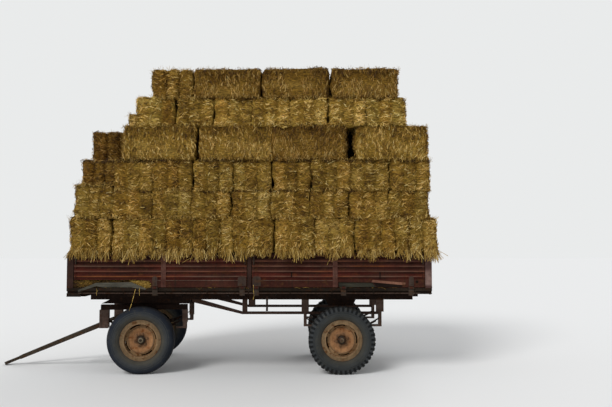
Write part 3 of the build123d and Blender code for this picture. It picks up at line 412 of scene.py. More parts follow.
# Materials of nodes that differ from their slot's
node_materials = {
    "posts": "post_paint",
    "bent_strip": "weathered_strip",
    "hinge_lugs": "lug_paint",
    "bogie_hangers": "bracket_paint",
    "rear_hangers": "bracket_paint",
    "truss_posts": "truss_paint",
    "truss_chords": "truss_paint",
    "truss_diagonals": "truss_paint",
}
for wheel, centre, axis in wheels:
    place = wheel.removeprefix("wheel_")
    end = place.split("_")[0]
    node_materials["rim_" + place] = "paint_" + place
    node_materials["tyre_" + place] = "rubber_" + place
    phase = lug_phase(wheel, facing(centre, axis)) if end == "rear" else None
    shadings += [
        wheel_paint("paint_" + place, centre, axis, disc_tones_and_light),
        wheel_rubber("rubber_" + place, centre, axis, wall_bands[end], mud_colour, phase),
    ]
materials = {m.name: m for m in shadings}
paint_light_on_rear_posts(materials["post_paint"])
slot_materials = {"tyre": "rear_tyre_rubber", "straw": "straw_core"}
for entry in frame["record"]["subparts"]:
    slot_name = entry["material_slot"]
    chosen = node_materials.get(entry["node"], slot_materials.get(slot_name, slot_name))
    cad_node = nodes[entry["node"]]
    cad_node.data.materials.clear()
    cad_node.data.materials.append(materials[chosen].owner)


def add_object(name, data):
    """A new object in the scene."""
    made = bpy.data.objects.new(name, data)
    bpy.context.scene.collection.objects.link(made)
    return made


def ride_piece(name, mesh, material, body):
    """A mesh as a piece of a body."""
    mesh.materials.append(materials[material].owner)
    piece = add_object(name, mesh)
    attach(piece, body)
    return piece


def straw_piece(name, points, faces, material, body, colours, smooth=False):
    """A piece from arrays: points (n, 3), faces (m, corners), and a colour for each point."""
    mesh = bpy.data.meshes.new(name)
    mesh.vertices.add(len(points))
    mesh.vertices.foreach_set("co", np.asarray(points, np.float32).ravel())
    mesh.loops.add(faces.size)
    mesh.loops.foreach_set("vertex_index", faces.astype(np.int32).ravel())
    mesh.polygons.add(len(faces))
    mesh.polygons.foreach_set("loop_start", np.arange(0, faces.size, faces.shape[1], dtype=np.int32))
    mesh.polygons.foreach_set("use_smooth", np.full(len(faces), smooth))
    mesh.update(calc_edges=True)
    mesh.validate()
    layer = mesh.color_attributes.new("straw_colour", "FLOAT_COLOR", "POINT")
    full = np.concatenate([colours, np.ones((len(colours), 1))], axis=1).astype(np.float32)
    layer.data.foreach_set("color", full.ravel())
    return ride_piece(name, mesh, material, body)


# Bales: the frame's blocks, each found as a loose part of its course

def loose_boxes(obj):
    """Lowest and highest corners of the separate solids in one CAD node."""
    mesh = obj.data
    co = np.zeros(len(mesh.vertices) * 3)
    mesh.vertices.foreach_get("co", co)
    co = co.reshape(-1, 3)
    keys = {}
    same = np.array([keys.setdefault(tuple(np.round(p, 5)), len(keys)) for p in co])
    parent = list(range(len(keys)))

    def find(i):
        while parent[i] != i:
            parent[i] = parent[parent[i]]
            i = parent[i]
        return i

    for polygon in mesh.polygons:
        corners = [same[v] for v in polygon.vertices]
        for corner in corners[1:]:
            parent[find(corner)] = find(corners[0])
    roots = np.array([find(i) for i in same])
    boxes = []
    for root in sorted(set(roots)):
        part = co[roots == root]
        boxes.append((part.min(axis=0), part.max(axis=0)))
    return boxes


course_names = sorted(name for name in nodes if name.startswith("bales_"))
courses = {name: loose_boxes(nodes[name]) for name in course_names}
all_boxes = [box for boxes in courses.values() for box in boxes]
all_lo = np.array([lo for lo, hi in all_boxes])
all_hi = np.array([hi for lo, hi in all_boxes])

# How light single bales are; the set-back first bales of courses 3 and 4 are darkened as painted shade. Columns:
# course, from and to behind the bed's front, factor.
bale_light = (
    (3, 0.1, 0.6, 0.68),
    (4, 0.1, 0.7, 0.62),
    (4, 0.7, 1.6, 0.98),
    (4, 1.6, 2.4, 0.9),
    (4, 2.4, 3.3, 0.7),
    (5, 0.0, 5.0, 1.22),
    (6, 1.0, 1.5, 0.98),
    (6, 1.5, 5.0, 0.72),
)

# Wide dark gaps between bales. Columns: course, place behind the bed's front, half width.
wide_gaps = (
    (3, 1.497, 0.017), (3, 2.41, 0.015), (3, 2.866, 0.013), (3, 3.776, 0.017), (2, 1.93, 0.013),
    (2, 3.32, 0.013), (1, 0.55, 0.013), (1, 2.4, 0.015), (1, 3.37, 0.013), (5, 1.258, 0.016),
    (5, 1.714, 0.013), (5, 3.05, 0.013), (4, 3.34, 0.034), (4, 1.6, 0.014), (6, 2.285, 0.026),
    (6, 3.08, 0.028),
)
gap_reach = 0.09
string_place = 0.34
string_reach = 0.085
string_pull = 0.038
string_dent = 0.014
end_crown = 0.012
foot_bulge = 0.022
edge_radius = np.array([0.034, 0.034, 0.02])
face_out = np.array([0.010, -0.008, 0.012])
wave_number = 16
wave_sizes = np.array([6, 6, 5, 5, 4, 3, 3, 2.5, 2, 2]) / 1000
slope_step = 0.006
# How the lobes between a bale's strings differ from each other
lobe_depth = 0.009
lobe_light_spread = 0.1
lobe_light_limits = (0.78, 1.22)
lobe_tint = 0.15
lobe_tint_spread = 0.38
lobe_tint_limits = (-0.45, 0.9)


def light_of(course, back):
    """How light the bale of a course is, at a distance behind the bed's front."""
    for row_course, start, end, factor in bale_light:
        if row_course == course and start <= back < end:
            return factor
    return 1.0


class Bale:
    """One bale: its block, how it lies, and its own lumps."""

    def __init__(self, number, course, lo, hi):
        self.number = number
        self.course = course
        self.along = 0 if hi[0] - lo[0] > hi[1] - lo[1] else 1
        self.across = 1 - self.along
        self.lo = lo = lo.copy()
        self.hi = hi = hi.copy()
        for row_course, back, step in wide_gaps:
            if row_course == course and abs(lo[0] - bed_front - back) < gap_reach:
                lo[0] += step
            if row_course == course and abs(hi[0] - bed_front - back) < gap_reach:
                hi[0] -= step
        self.middle = (lo + hi) / 2
        self.half = (hi - lo) / 2
        light = light_of(course, self.middle[0] - bed_front)
        self.light = np.array([light, light**1.25, light**1.6])
        self.waves = rng.normal(size=(len(wave_sizes), 3)) * wave_number
        self.phases = rng.random(len(wave_sizes)) * 2 * math.pi
        self.lobe_push = rng.normal(size=3) * lobe_depth
        self.lobe_light = np.clip(1 + rng.normal(size=3) * lobe_light_spread, *lobe_light_limits)
        self.lobe_tint = np.clip(lobe_tint + rng.normal(size=3) * lobe_tint_spread, *lobe_tint_limits)

    def lobe(self, local):
        """Which of the three lobes between the strings a point is in."""
        return np.digitize(local[:, self.across], [-string_place, string_place])

    def shift(self, points, axis_weights):
        """How far points of the surface stand out, by which way they face."""
        local = (points - self.middle) / self.half
        out = axis_weights @ face_out
        for wave, phase, size in zip(self.waves, self.phases, wave_sizes):
            out += size * np.sin(points @ wave + phase)
        pull = np.zeros(len(points))
        for string in (-string_place, string_place):
            pull += np.exp(-(((local[:, self.across] - string) / string_reach) ** 2))
        crown = end_crown * (1 - local[:, self.across] ** 2)
        out += axis_weights[:, self.along] * (crown - string_pull * pull + self.lobe_push[self.lobe(local)])
        out -= string_dent * pull * axis_weights[:, 2]
        if self.along == 0:
            out += foot_bulge * axis_weights[:, 1] * np.clip(0.4 - local[:, 2], 0, 1)
        return out

    def surface(self, points):
        """Points of the block moved to the bale's lumpy surface, with normals."""
        core = np.clip(points, self.lo + edge_radius, self.hi - edge_radius)
        normal = unit((points - core) / edge_radius)
        weights = normal**2
        shift = self.shift(points, weights)
        moved = core + normal * (edge_radius + shift[:, None])
        # Tilt the normals by how the surface changes across the bale
        step = np.zeros(3)
        step[self.across] = slope_step
        rise = self.shift(points + step, weights) - self.shift(points - step, weights)
        slope = rise / (2 * slope_step)
        tilted = normal.copy()
        tilted[:, self.across] -= slope * weights[:, self.along]
        return moved, unit(tilted)


def unit(vectors):
    """Vectors of length one."""
    return vectors / np.maximum(np.linalg.norm(vectors, axis=1, keepdims=True), 1e-9)


def hashed(cells):
    """A number from 0 to 1 for each cell of a lattice."""
    value = np.sin(cells @ np.array([127.1, 311.7, 74.7])) * 43758.5453
    return value - np.floor(value)


def value_noise(points):
    """Smooth noise from 0 to 1, one cell a unit wide."""
    base = np.floor(points)
    part = points - base
    part = part * part * (3 - 2 * part)
    total = np.zeros(len(points))
    for corner in range(8):
        offset = np.array([corner & 1, corner >> 1 & 1, corner >> 2 & 1])
        weight = np.prod(np.where(offset, part, 1 - part), axis=1)
        total += weight * hashed(base + offset)
    return total


# The colours of straw, from the darkest, which paints the shade in the hollows, to the brightest stems
straw_stops = np.array([0.0, 0.28, 0.55, 0.8, 1.0])
straw_tones = np.array([
    (0.045, 0.021, 0.003),
    (0.16, 0.083, 0.010),
    (0.32, 0.190, 0.030),
    (0.50, 0.33, 0.080),
    (0.72, 0.53, 0.20),
])
tint_step = np.array([0.07, -0.03, -0.14])


def straw_colour(tone):
    """Colours of straw for tones from 0 to 1."""
    return np.stack([np.interp(tone, straw_stops, straw_tones[:, i]) for i in range(3)], axis=1)


def tinted(colours, tint):
    """Colours turned towards orange, or towards grey green where the tint is below zero."""
    return colours * np.clip(1 + np.outer(tint, tint_step), 0.3, 2)


def graded(low, high, fine, edge):
    """Places from low to high, close together near both ends."""
    places = [low]
    step = fine
    while places[-1] < (low + high) / 2:
        places.append(places[-1] + step)
        step = min(step * 1.6, edge)
    places = [p for p in places if p < (low + high) / 2 - fine / 2]
    return np.array(places + [low + high - p for p in reversed(places)])


def block_surface(bale, fine):
    """Points and quads over a bale's block: fine across its ends, graded along its length."""
    lines = []
    for axis in range(3):
        if axis == bale.along:
            lines.append(graded(bale.lo[axis], bale.hi[axis], fine, 0.16))
        else:
            count = max(3, round((bale.hi[axis] - bale.lo[axis]) / fine))
            lines.append(np.linspace(bale.lo[axis], bale.hi[axis], count + 1))
    counts = [len(line) - 1 for line in lines]
    index = {}
    points = []
    faces = []

    def vertex(cell):
        if cell not in index:
            index[cell] = len(points)
            points.append([lines[axis][cell[axis]] for axis in range(3)])
        return index[cell]

    for axis in range(3):
        u, v = (axis + 1) % 3, (axis + 2) % 3
        for side in (0, counts[axis]):
            for i in range(counts[u]):
                for j in range(counts[v]):
                    corners = []
                    for di, dj in ((0, 0), (1, 0), (1, 1), (0, 1)):
                        cell = [side] * 3
                        cell[u], cell[v] = i + di, j + dj
                        corners.append(vertex(tuple(cell)))
                    faces.append(corners if side else corners[::-1])
    return np.array(points), np.array(faces)


def free_of_bales(points, own):
    """True where a point lies in no bale but its own."""
    free = np.ones(len(points), bool)
    for number in range(len(all_lo)):
        if number != own:
            free &= ~np.all((points > all_lo[number]) & (points < all_hi[number]), axis=1)
    return free


probe_reach = 0.05


def on_face(bale, axis, sign, places):
    """Points moved onto one face of a bale where no other bale covers it, and the way out of it."""
    places[:, axis] = bale.hi[axis] if sign > 0 else bale.lo[axis]
    outwards = np.zeros(3)
    outwards[axis] = sign
    return places[free_of_bales(places + outwards * probe_reach, bale.number)], outwards


def stems(centres, directions, widths, lengths):
    """Thin closed four-faced stems: points (4n, 3) and triangles (4n, 3)."""
    side = unit(np.cross(directions, rng.normal(size=centres.shape)))
    cross = unit(np.cross(directions, side))
    reach = directions * (lengths / 2)[:, None]
    side *= (widths / 2)[:, None]
    cross *= (widths / 2)[:, None]
    near, far = centres - reach, centres + reach
    points = np.stack([near - side, near + side, far - cross, far + cross], axis=1).reshape(-1, 3)
    pattern = np.array([[0, 2, 1], [0, 1, 3], [0, 3, 2], [1, 2, 3]])
    faces = (np.arange(len(centres))[:, None, None] * 4 + pattern).reshape(-1, 3)
    return points, faces


# The shade under each course's upper edge: how dark, and its depth as a share of the bale's half height
top_shadow = {1: (0.25, 0.09), 2: (0.55, 0.1), 3: (1.0, 0.15), 5: (0.25, 0.09)}
tufts_per_area = 1750
top_share = 0.5
boxed_share = 0.5
core_grid = 0.04
boxed_core_grid = 0.12
side_limit = cad_box[1][1] + 0.065
stems_in_tuft = 3
# Least and most length and width of stems
short_stems = (0.022, 0.056)
long_stems = (0.025, 0.06)
stem_widths = (0.003, 0.0065)
fringe_widths = (0.003, 0.006)
top_widths = (0.002, 0.0035)
middle_tone = 0.5
contrast = 1.25


def tone_at(bale, points, axis):
    """The tone of the straw at points of one face: patches, lobes and fine streaks, with painted shade in the
    string grooves, along the bale's edges and near its upper edge under the course above, and on a long bale's
    side darker towards the top over a painted shadow line along its foot.
    """
    local = (points - bale.middle) / bale.half
    streak = np.array([9.0, 9.0, 55.0])
    if bale.along == 0 and axis == 1:
        streak = np.array([60.0, 9.0, 12.0])
    patches = value_noise(points * 9.0 + bale.number)
    streaks = value_noise(points * streak + 3.7 * bale.number)
    tone = 0.18 + 0.3 * patches + 0.38 * streaks
    if axis == bale.along:
        tone += 0.8 * (bale.lobe_light[bale.lobe(local)] - 1)
        # Painted shade in the string grooves and along the bale's edges
        groove = np.abs(np.abs(local[:, bale.across]) - string_place) / 0.07
        rim = (1 - np.abs(local[:, bale.across])) / 0.06
        tone -= 0.15 * np.exp(-(groove**2)) + 0.14 * np.exp(-(rim**2))
    # Painted shade near the upper edge, under the course above, in notches
    if axis != 2 and bale.course in top_shadow:
        dark, depth = top_shadow[bale.course]
        notch = np.clip(2.4 * value_noise(points * np.array([16.0, 16.0, 1.0])) - 0.5, 0, 1)
        rim = (1 - local[:, 2]) / depth
        tone -= dark * notch * np.exp(-(rim**2))
    if bale.along == 0 and axis == 1:
        tone -= 0.24 * np.clip(local[:, 2] + 0.1, 0, 1) - 0.06
        # A painted shadow line along the long bale's foot
        tone -= 0.35 * np.exp(-(((1 + local[:, 2]) / 0.1) ** 2))
    return tone


def face_tufts(bale, axis, sign):
    """Stems over one face of a bale: places, directions, widths, lengths and colours."""
    u, v = (axis + 1) % 3, (axis + 2) % 3
    size = bale.hi - bale.lo
    share = boxed_share if bale.course == 0 else top_share if axis == 2 else 1.0
    count = int(size[u] * size[v] * tufts_per_area * share)
    points = np.zeros((count, 3))
    for i in (u, v):
        points[:, i] = bale.lo[i] + size[i] * rng.random(count)
    points, _ = on_face(bale, axis, sign, points)
    count = len(points)
    if count == 0:
        return None
    surface, normal = bale.surface(points)
    level = np.eye(3)[1 if axis == 0 else 0]
    upright = np.eye(3)[2]
    if axis == 2:
        main, other, spread, reach = np.eye(3)[bale.across], np.eye(3)[bale.along], 0.7, short_stems
    elif bale.along == 0 and axis == 1:
        main, other, spread, reach = upright, level, 0.3, long_stems
    else:
        main, other, spread, reach = level, upright, 0.5, short_stems
    bend = 0.9 * (value_noise(points * 6.0 + 11.0 + bale.number) - 0.5)
    angle = rng.normal(size=count) * spread + bend
    if bale.course == 1 and axis != 2:
        # The lowest bales' straw hangs down towards the gates
        depth = (bale.hi[2] - points[:, 2]) / size[2]
        angle += 1.35 * np.clip((depth - 0.42) / 0.35, 0, 1) * (0.6 + 0.4 * rng.random(count))
    direction = main * np.cos(angle)[:, None] + other * np.sin(angle)[:, None]
    direction = unit(direction - normal * np.sum(direction * normal, axis=1, keepdims=True))
    lift = 0.016 * rng.random(count) ** 1.6
    # Tufts lying deeper are darker and those standing out lighter: painted shade
    tone = tone_at(bale, points, axis) + 10.0 * (lift - 0.006) + 0.2 * rng.normal(size=count)
    # Each tuft is a few stems side by side
    repeat = np.repeat(np.arange(count), stems_in_tuft)
    beside = unit(np.cross(direction, normal))[repeat]
    total = len(repeat)
    tint = 0.35 + 0.7 * rng.normal(size=total)
    if axis == bale.along:
        tint += bale.lobe_tint[bale.lobe((points - bale.middle) / bale.half)][repeat]
    centre = surface[repeat] + beside * (rng.normal(size=total) * 0.005)[:, None]
    centre += direction[repeat] * (rng.normal(size=total) * 0.012)[:, None]
    centre += normal[repeat] * (lift[repeat] + rng.normal(size=total) * 0.003 - 0.002)[:, None]
    outward = rng.normal(size=total) * 0.16 + 0.03
    turned = direction[repeat] + beside * (rng.normal(size=total) * 0.16)[:, None]
    turned = unit(turned + normal[repeat] * outward[:, None])
    lengths = rng.uniform(*reach, total)
    widths = rng.uniform(*stem_widths, total)
    tone = middle_tone + contrast * (tone[repeat] - middle_tone) + 0.14 * rng.normal(size=total)
    colours = tinted(straw_colour(np.clip(tone, 0, 1)) * bale.light, tint)
    return centre, turned, widths, lengths, colours


def edge_stems(bale, high, per_metre, lengths, droop):
    """Loose stems along the top or bottom edges of a bale, hanging or standing out."""
    parts = []
    for axis in (0, 1):
        run = 1 - axis
        for sign in (-1, 1):
            count = rng.poisson((bale.hi[run] - bale.lo[run]) * per_metre)
            points = np.zeros((count, 3))
            points[:, run] = rng.uniform(bale.lo[run] + 0.01, bale.hi[run] - 0.01, count)
            points[:, 2] = bale.hi[2] - 0.02 if high else bale.lo[2] + 0.03
            points, outwards = on_face(bale, axis, sign, points)
            if high:
                points = points[free_of_bales(points + np.array([0, 0, probe_reach]), bale.number)]
            count = len(points)
            if count == 0:
                continue
            surface, normal = bale.surface(points)
            clump = value_noise(points * 14.0 + bale.number * 5.0)
            size = rng.uniform(*lengths, count) * (0.45 + 0.9 * clump)
            direction = rng.normal(size=(count, 3)) * 0.35 + outwards * 0.25
            direction[:, 2] += droop
            direction = unit(direction)
            centre = surface + direction * (size * 0.32)[:, None]
            widths = rng.uniform(*(top_widths if high else fringe_widths), count)
            tone = np.clip(0.56 + 0.26 * rng.normal(size=count) + 0.3 * (clump - 0.5), 0, 1)
            parts.append((centre, direction, widths, size, straw_colour(tone) * bale.light))
    return parts


# Hanging straw by course: stems a metre, their lengths, how far they hang
fringes = {1: (520, (0.07, 0.19), -1.3), 4: (150, (0.02, 0.05), -0.7)}
usual_fringe = (240, (0.025, 0.07), -0.7)
top_fringe = (90, (0.03, 0.1), 0.6)


def bale_stems(bale):
    """All the stems of one bale, but for its underside."""
    faces = ((0, -1), (0, 1), (1, -1), (1, 1), (2, 1))
    parts = [part for part in (face_tufts(bale, *face) for face in faces) if part is not None]
    if bale.course > 0:
        parts += edge_stems(bale, False, *fringes.get(bale.course, usual_fringe))
        parts += edge_stems(bale, True, *top_fringe)
    return parts


number = 0
for course, name in enumerate(course_names):
    body_points, body_faces, body_colours, parts = [], [], [], []
    offset = 0
    for lo, hi in courses[name]:
        bale = Bale(number, course, lo, hi)
        points, faces = block_surface(bale, core_grid if course else boxed_core_grid)
        local = (points - bale.middle) / bale.half
        axis = np.argmax(np.abs(local), axis=1)
        tone = np.zeros(len(points))
        for face_axis in range(3):
            chosen = axis == face_axis
            tone[chosen] = tone_at(bale, points[chosen], face_axis)
        tint = bale.lobe_tint[bale.lobe(local)] * (axis == bale.along)
        body_points.append(bale.surface(points)[0])
        body_faces.append(faces + offset)
        body_colours.append(tinted(straw_colour(np.clip(tone, 0, 1)) * bale.light, tint))
        offset += len(points)
        parts += bale_stems(bale)
        number += 1
    core = straw_piece(
        name + "_cores", np.concatenate(body_points), np.concatenate(body_faces), "straw_core",
        "wagon", np.concatenate(body_colours), smooth=True,
    )
    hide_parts(name)
    centres, directions, widths, lengths, colours = (np.concatenate(rows) for rows in zip(*parts))
    points, faces = stems(centres, directions, widths, lengths)
    # Stems that would stand out too far are moved inwards
    reach = np.abs(points[:, 1]).reshape(-1, 4).max(axis=1)
    inwards = np.clip(reach - side_limit, 0, None) * np.sign(centres[:, 1])
    points[:, 1] -= np.repeat(inwards, 4)
    straw_piece(name + "_straws", points, faces, "straw", "wagon", np.repeat(colours, 4, axis=0))


# Hardware: small closed solids, gathered by body and finish

gathered = {}


def gather(body, finish, matrix, points, polygons):
    """Keeps one solid for the mesh of its body and finish."""
    kept_points, kept_polygons = gathered.setdefault((body, finish), ([], []))
    offset = len(kept_points)
    kept_points += [matrix @ Vector(point) for point in points]
    kept_polygons += [[offset + corner for corner in polygon] for polygon in polygons]


def prism(body, finish, matrix, outline, low, high):
    """A solid with a flat outline, counter-clockwise, from one level to another."""
    count = len(outline)
    points = [(x, y, z) for z in (low, high) for x, y in outline]
    polygons = [list(range(count))[::-1], list(range(count, 2 * count))]
    polygons += [[i, (i + 1) % count, (i + 1) % count + count, i + count] for i in range(count)]
    gather(body, finish, matrix, points, polygons)


def polar(radius, angle):
    """A flat point at a distance and an angle."""
    return radius * math.cos(angle), radius * math.sin(angle)


def circle(radius, count=12, centre=(0, 0), turn=0.0):
    """Corners of a regular polygon."""
    corners = [polar(radius, turn + i * 2 * math.pi / count) for i in range(count)]
    return [(centre[0] + x, centre[1] + y) for x, y in corners]


def oblong(width, height, centre=(0, 0)):
    """Corners of a rectangle."""
    x, y = centre
    corners = ((-1, -1), (1, -1), (1, 1), (-1, 1))
    return [(x + i * width / 2, y + j * height / 2) for i, j in corners]


def lathe(body, finish, matrix, profile, count=48):
    """A ring with a closed profile of (radius, level), counter-clockwise, round Z."""
    turns = [i * 2 * math.pi / count for i in range(count)]
    points = [(*polar(r, angle), z) for angle in turns for r, z in profile]
    rows = len(profile)
    polygons = []
    for i in range(count):
        this, after = i * rows, (i + 1) % count * rows
        for j in range(rows):
            k = (j + 1) % rows
            polygons.append([this + j, after + j, after + k, this + k])
    gather(body, finish, matrix, points, polygons)


def rod(body, finish, start, end, radius, count=8):
    """A straight round bar."""
    along = end - start
    matrix = along.to_track_quat("Z", "Y").to_matrix().to_4x4()
    matrix.translation = start
    prism(body, finish, matrix, circle(radius, count), 0, along.length)


washer_top = 0.0025
washer_share = 1.45


def bolts(body, finish, matrix, across, heights, radius, rise):
    """Hexagon heads on washers, at each place across and each height."""
    for x in across:
        for centre in ((x, z) for z in heights):
            prism(body, finish, matrix, circle(radius * washer_share, 12, centre), -0.002, washer_top)
            prism(body, finish, matrix, circle(radius, 6, centre, 0.3), washer_top, washer_top + rise)


# Wheels. Levels are measured outwards from the wheel's middle.

disc_level = -0.008
cap_dome = 0.059
cap_dome_centre = -0.0094
dome_skin = 0.002
nut_ring = 0.072
nut_start = 15
rim_inner = 0.197
nipple_radius = 0.007
valve_foot = 0.186
valve_tip = (0.170, 0.05)
valve_radius = 0.005
wall_step = 0.006
# Washer, nut and stud. Columns: radius, corners, foot and top over the disc
nut_stack = ((0.019, 12, -0.002, 0.002), (0.0125, 6, 0.0, 0.014), (0.007, 8, 0.0, 0.022))
collar = ((0.042, 0.006), (0.0475, 0.006), (0.0475, 0.016), (0.042, 0.018))
brake_drum = ((0.062, -0.06), (0.190, -0.06), (0.190, -0.032), (0.062, -0.032))
rim_lip = ((0.238, 0.061), (0.244, 0.063), (0.244, 0.067), (0.238, 0.069))
disc_ridge = ((0.150, 0.0165), (0.160, 0.0165), (0.158, 0.0205), (0.152, 0.0205))
# Ridges inside the rim. Columns: from and to level, rise
rim_ridges = ((0.058, 0.066, 0.006), (0.034, 0.04, 0.003), (0.012, 0.017, 0.003))
# Rings on the tyre's wall. Columns: radius, width, rise
wall_rings = (
    (0.249, 0.005, 0.003), (0.262, 0.002, 0.0015), (0.286, 0.003, 0.002), (0.318, 0.004, 0.002),
    (0.340, 0.003, 0.002),
)
# By the axle's end of the wagon: the light ring on the cap from and to, the valve's angle
cap_rings = {"front": (0.031, 0.017, 65), "rear": (0.027, 0.0005, 150)}


def dome_level(radius):
    """How far out the hub cap stands at a distance from the axle."""
    return cap_dome_centre + math.sqrt(cap_dome**2 - radius**2)


def tyre_wall(body, matrix):
    """How far out a tyre's wall stands, as rows of radius and level from the bead out."""
    x, y, level = tyre_points(body, matrix)
    radius = np.hypot(x, y)
    rows = []
    for low in np.arange(0.24, 0.40, wall_step):
        chosen = (radius >= low) & (radius < low + wall_step)
        if chosen.any():
            rows.append((radius[chosen].mean(), level[chosen].max()))
    return np.array(rows).T


for body, centre, axis in wheels:
    end = body.split("_")[1]
    wheel = facing(centre, axis)
    for i in range(6):
        angle = math.radians(nut_start + 60 * i)
        for radius, count, low, high in nut_stack:
            outline = circle(radius, count, polar(nut_ring, angle), angle if count == 6 else 0.0)
            prism(body, "wheel_nuts", wheel, outline, disc_level + low, disc_level + high)
    # The cap: a dark collar, a worn light ring or dome, and a grease nipple
    outer, inner, valve = cap_rings[end]
    lathe(body, "iron", wheel, collar, 32)
    steps = [outer + (inner - outer) * i / 4 for i in range(5)]
    lathe(body, "bright", wheel, [(r, dome_level(r) + dome_skin) for r in steps] + [
        (r, dome_level(r) - dome_skin) for r in reversed(steps)
    ], 32)
    prism(body, "iron", wheel, circle(nipple_radius, 6), dome_level(0) - 0.002, dome_level(0) + 0.007)
    # A brake drum behind the disc, near black: painted shade seen through the disc's slots
    lathe(body, "drum", wheel, brake_drum)
    # Rolled lips and ridges of the rim and disc, and the tyre's valve
    for low, high, rise in rim_ridges:
        foot, crest = rim_inner + 0.001, rim_inner - rise
        ridge = ((foot, low), (foot, high), (crest, high - 0.002), (crest, low + 0.002))
        lathe(body, "rim", wheel, ridge, 64)
    lathe(body, "rim", wheel, rim_lip, 64)
    lathe(body, "rim", wheel, disc_ridge, 64)
    valve = math.radians(valve)
    foot = Vector((*polar(valve_foot, valve), 0.0))
    tip = Vector((*polar(valve_tip[0], valve), valve_tip[1]))
    rod(body, "iron", wheel @ foot, wheel @ tip, valve_radius)
    wall = tyre_wall(body, wheel)
    for radius, width, rise in wall_rings:
        low, high = radius - width / 2, radius + width / 2
        foot, crest = (np.interp(r, *wall) for r in (low, high))
        lathe(body, end + "_rubber", wheel, (
            (low - 0.001, foot - 0.002), (high + 0.001, crest - 0.002),
            (high, crest + rise), (low, foot + rise),
        ), 72)

# Springs: two U-bolts, their plate and nuts, and two clips on each side of both axles
spring_middle = 0.462
bolt_radius = 0.007
bolt_spread_x = 0.047
bolt_spread_y = 0.037
plate_top = 0.365
plate_foot = plate_top - 0.012
plate_size = (0.13, 0.1)
leg_foot = plate_top - 0.03
nut_foot = plate_top - 0.026
nut_radius = 0.013
clamp_top = 0.498
clip_reach = 0.24
clip_half = 0.028
clip_size = (0.024, 0.068)
clip_level = 0.5075
clip_lean = 0.3
# Columns: body, place and turn of the axle, how far behind it the spring's middle stands
axles = (
    ("bogie", -0.85583, math.radians(4), 0.0),
    ("wagon", 1.59917, 0.0, 0.024),
)
for body, x, turn, spring_back in axles:
    axle = Matrix.Translation((x, 0, 0)) @ Matrix.Rotation(turn, 4, "Z")
    for y in (-spring_middle, spring_middle):
        prism(body, "iron", axle, oblong(*plate_size, (0, y)), plate_foot, plate_top)
        for reach in (-bolt_spread_x, bolt_spread_x):
            for spread in (-bolt_spread_y, bolt_spread_y):
                leg = circle(bolt_radius, 8, (reach, y + spread))
                nut = circle(nut_radius, 6, (reach, y + spread))
                prism(body, "iron", axle, leg, leg_foot, clamp_top + 0.012)
                prism(body, "nuts", axle, nut, nut_foot, plate_foot)
            near, far = (
                axle @ Vector((reach, y + sign * (bolt_spread_y + bolt_radius), clamp_top + bolt_radius))
                for sign in (-1, 1)
            )
            rod(body, "iron", near, far, bolt_radius)
        for end in (-1, 1):
            place = Matrix.Translation((spring_back + end * clip_reach, y, clip_level))
            clip = axle @ place @ Matrix.Rotation(-end * clip_lean, 4, "Y")
            prism(body, "iron", clip, oblong(*clip_size), -clip_half, clip_half)

# Each side's frame, and the sign that turns places along X into its own
left = facing((0, -bed_side, 0), (0, -1, 0))
right = facing((0, bed_side, 0), (0, 1, 0))
sides = {"left": (left, 1), "right": (right, -1)}

# Sides: bolts on the straps and stiles, rivets along the gates' edges, latches at their ends
hinge_reach = (0.083, 1.103, 1.894)
missing_straps = (("gate_front_left", 1.894), ("gate_rear_left", 1.103))
gate_start = 0.0285
strap_level = 0.005
strap_foot, strap_shoulder, strap_top = 1.056, 1.150, 1.168
wide_strap_half = 0.049
strap_half = 0.029
strap_top_share = 0.55
strap_bolt_heights = (1.085, 1.14)
stile_reach = 1.003
stile_level = 0.004
stile_size = (0.056, 0.396)
stile_middle = 1.24
stile_bolt_heights = (1.09, 1.2, 1.32, 1.405)
rivet_inset = 0.02
rivet_radius = 0.008
rivet_heights = (1.075, 1.17, 1.27, 1.36, 1.42)
# Latches. Columns: width, height, level of the middle, how far out they stand
latch_parts = ((0.022, 0.07, 1.385, 0.010), (0.012, 0.045, 1.33, 0.018))
for name, (lo, hi) in gate_box.items():
    _, end, side_name = name.split("_")
    side, sign = sides[side_name]
    # Reaches run back from the gate's front in a rear gate, and forwards from its rear in a front one
    start, way = (lo.x, 1) if end == "rear" else (hi.x, -1)
    face = side @ Matrix.Translation((0, 0, strap_level))
    for reach in hinge_reach:
        if (name, reach) in missing_straps:
            continue
        x = sign * (start + way * reach - way * gate_start)
        half = wide_strap_half if reach == hinge_reach[0] else strap_half
        narrow = half * strap_top_share
        prism(name, "strap", face, (
            (x - half, strap_foot), (x + half, strap_foot), (x + half, strap_shoulder),
            (x + narrow, strap_top), (x - narrow, strap_top), (x - half, strap_shoulder),
        ), -0.001, 0.0015)
        bolts(name, "strap", face, (x,), strap_bolt_heights, 0.010, 0.007)
    x = sign * (start + way * stile_reach - way * gate_start)
    face = side @ Matrix.Translation((0, 0, stile_level))
    prism(name, "stile", face, oblong(*stile_size, (x, stile_middle)), -0.001, 0.0012)
    bolts(name, "stile", face, (x,), stile_bolt_heights, 0.008, 0.004)
    for x in (sign * (lo.x + rivet_inset), sign * (hi.x - rivet_inset)):
        for z in rivet_heights:
            prism(name, "side", side, circle(rivet_radius, 8, (x, z)), -0.002, 0.004)
        for width, height, z, out in latch_parts:
            prism(name, "iron", side, oblong(width, height, (x, z)), -0.002, out)

# Light lips along the gates' bottom bands, painted highlights on their upper edges. Columns: gate, start and end
# behind the gate's front
lip_height = 1.121
lip_width = 0.006
lip_runs = (
    ("gate_front_left", 0.93, 2.0), ("gate_rear_left", 0.02, 1.0),
    ("gate_front_right", 0.02, 2.0), ("gate_rear_right", 0.02, 2.0),
)
for name, start, end in lip_runs:
    side, sign = sides[name.split("_")[2]]
    middle = sign * (gate_box[name][0].x + (start + end) / 2)
    prism(name, "edge", side, oblong(end - start, lip_width, (middle, lip_height)), -0.002, 0.005)

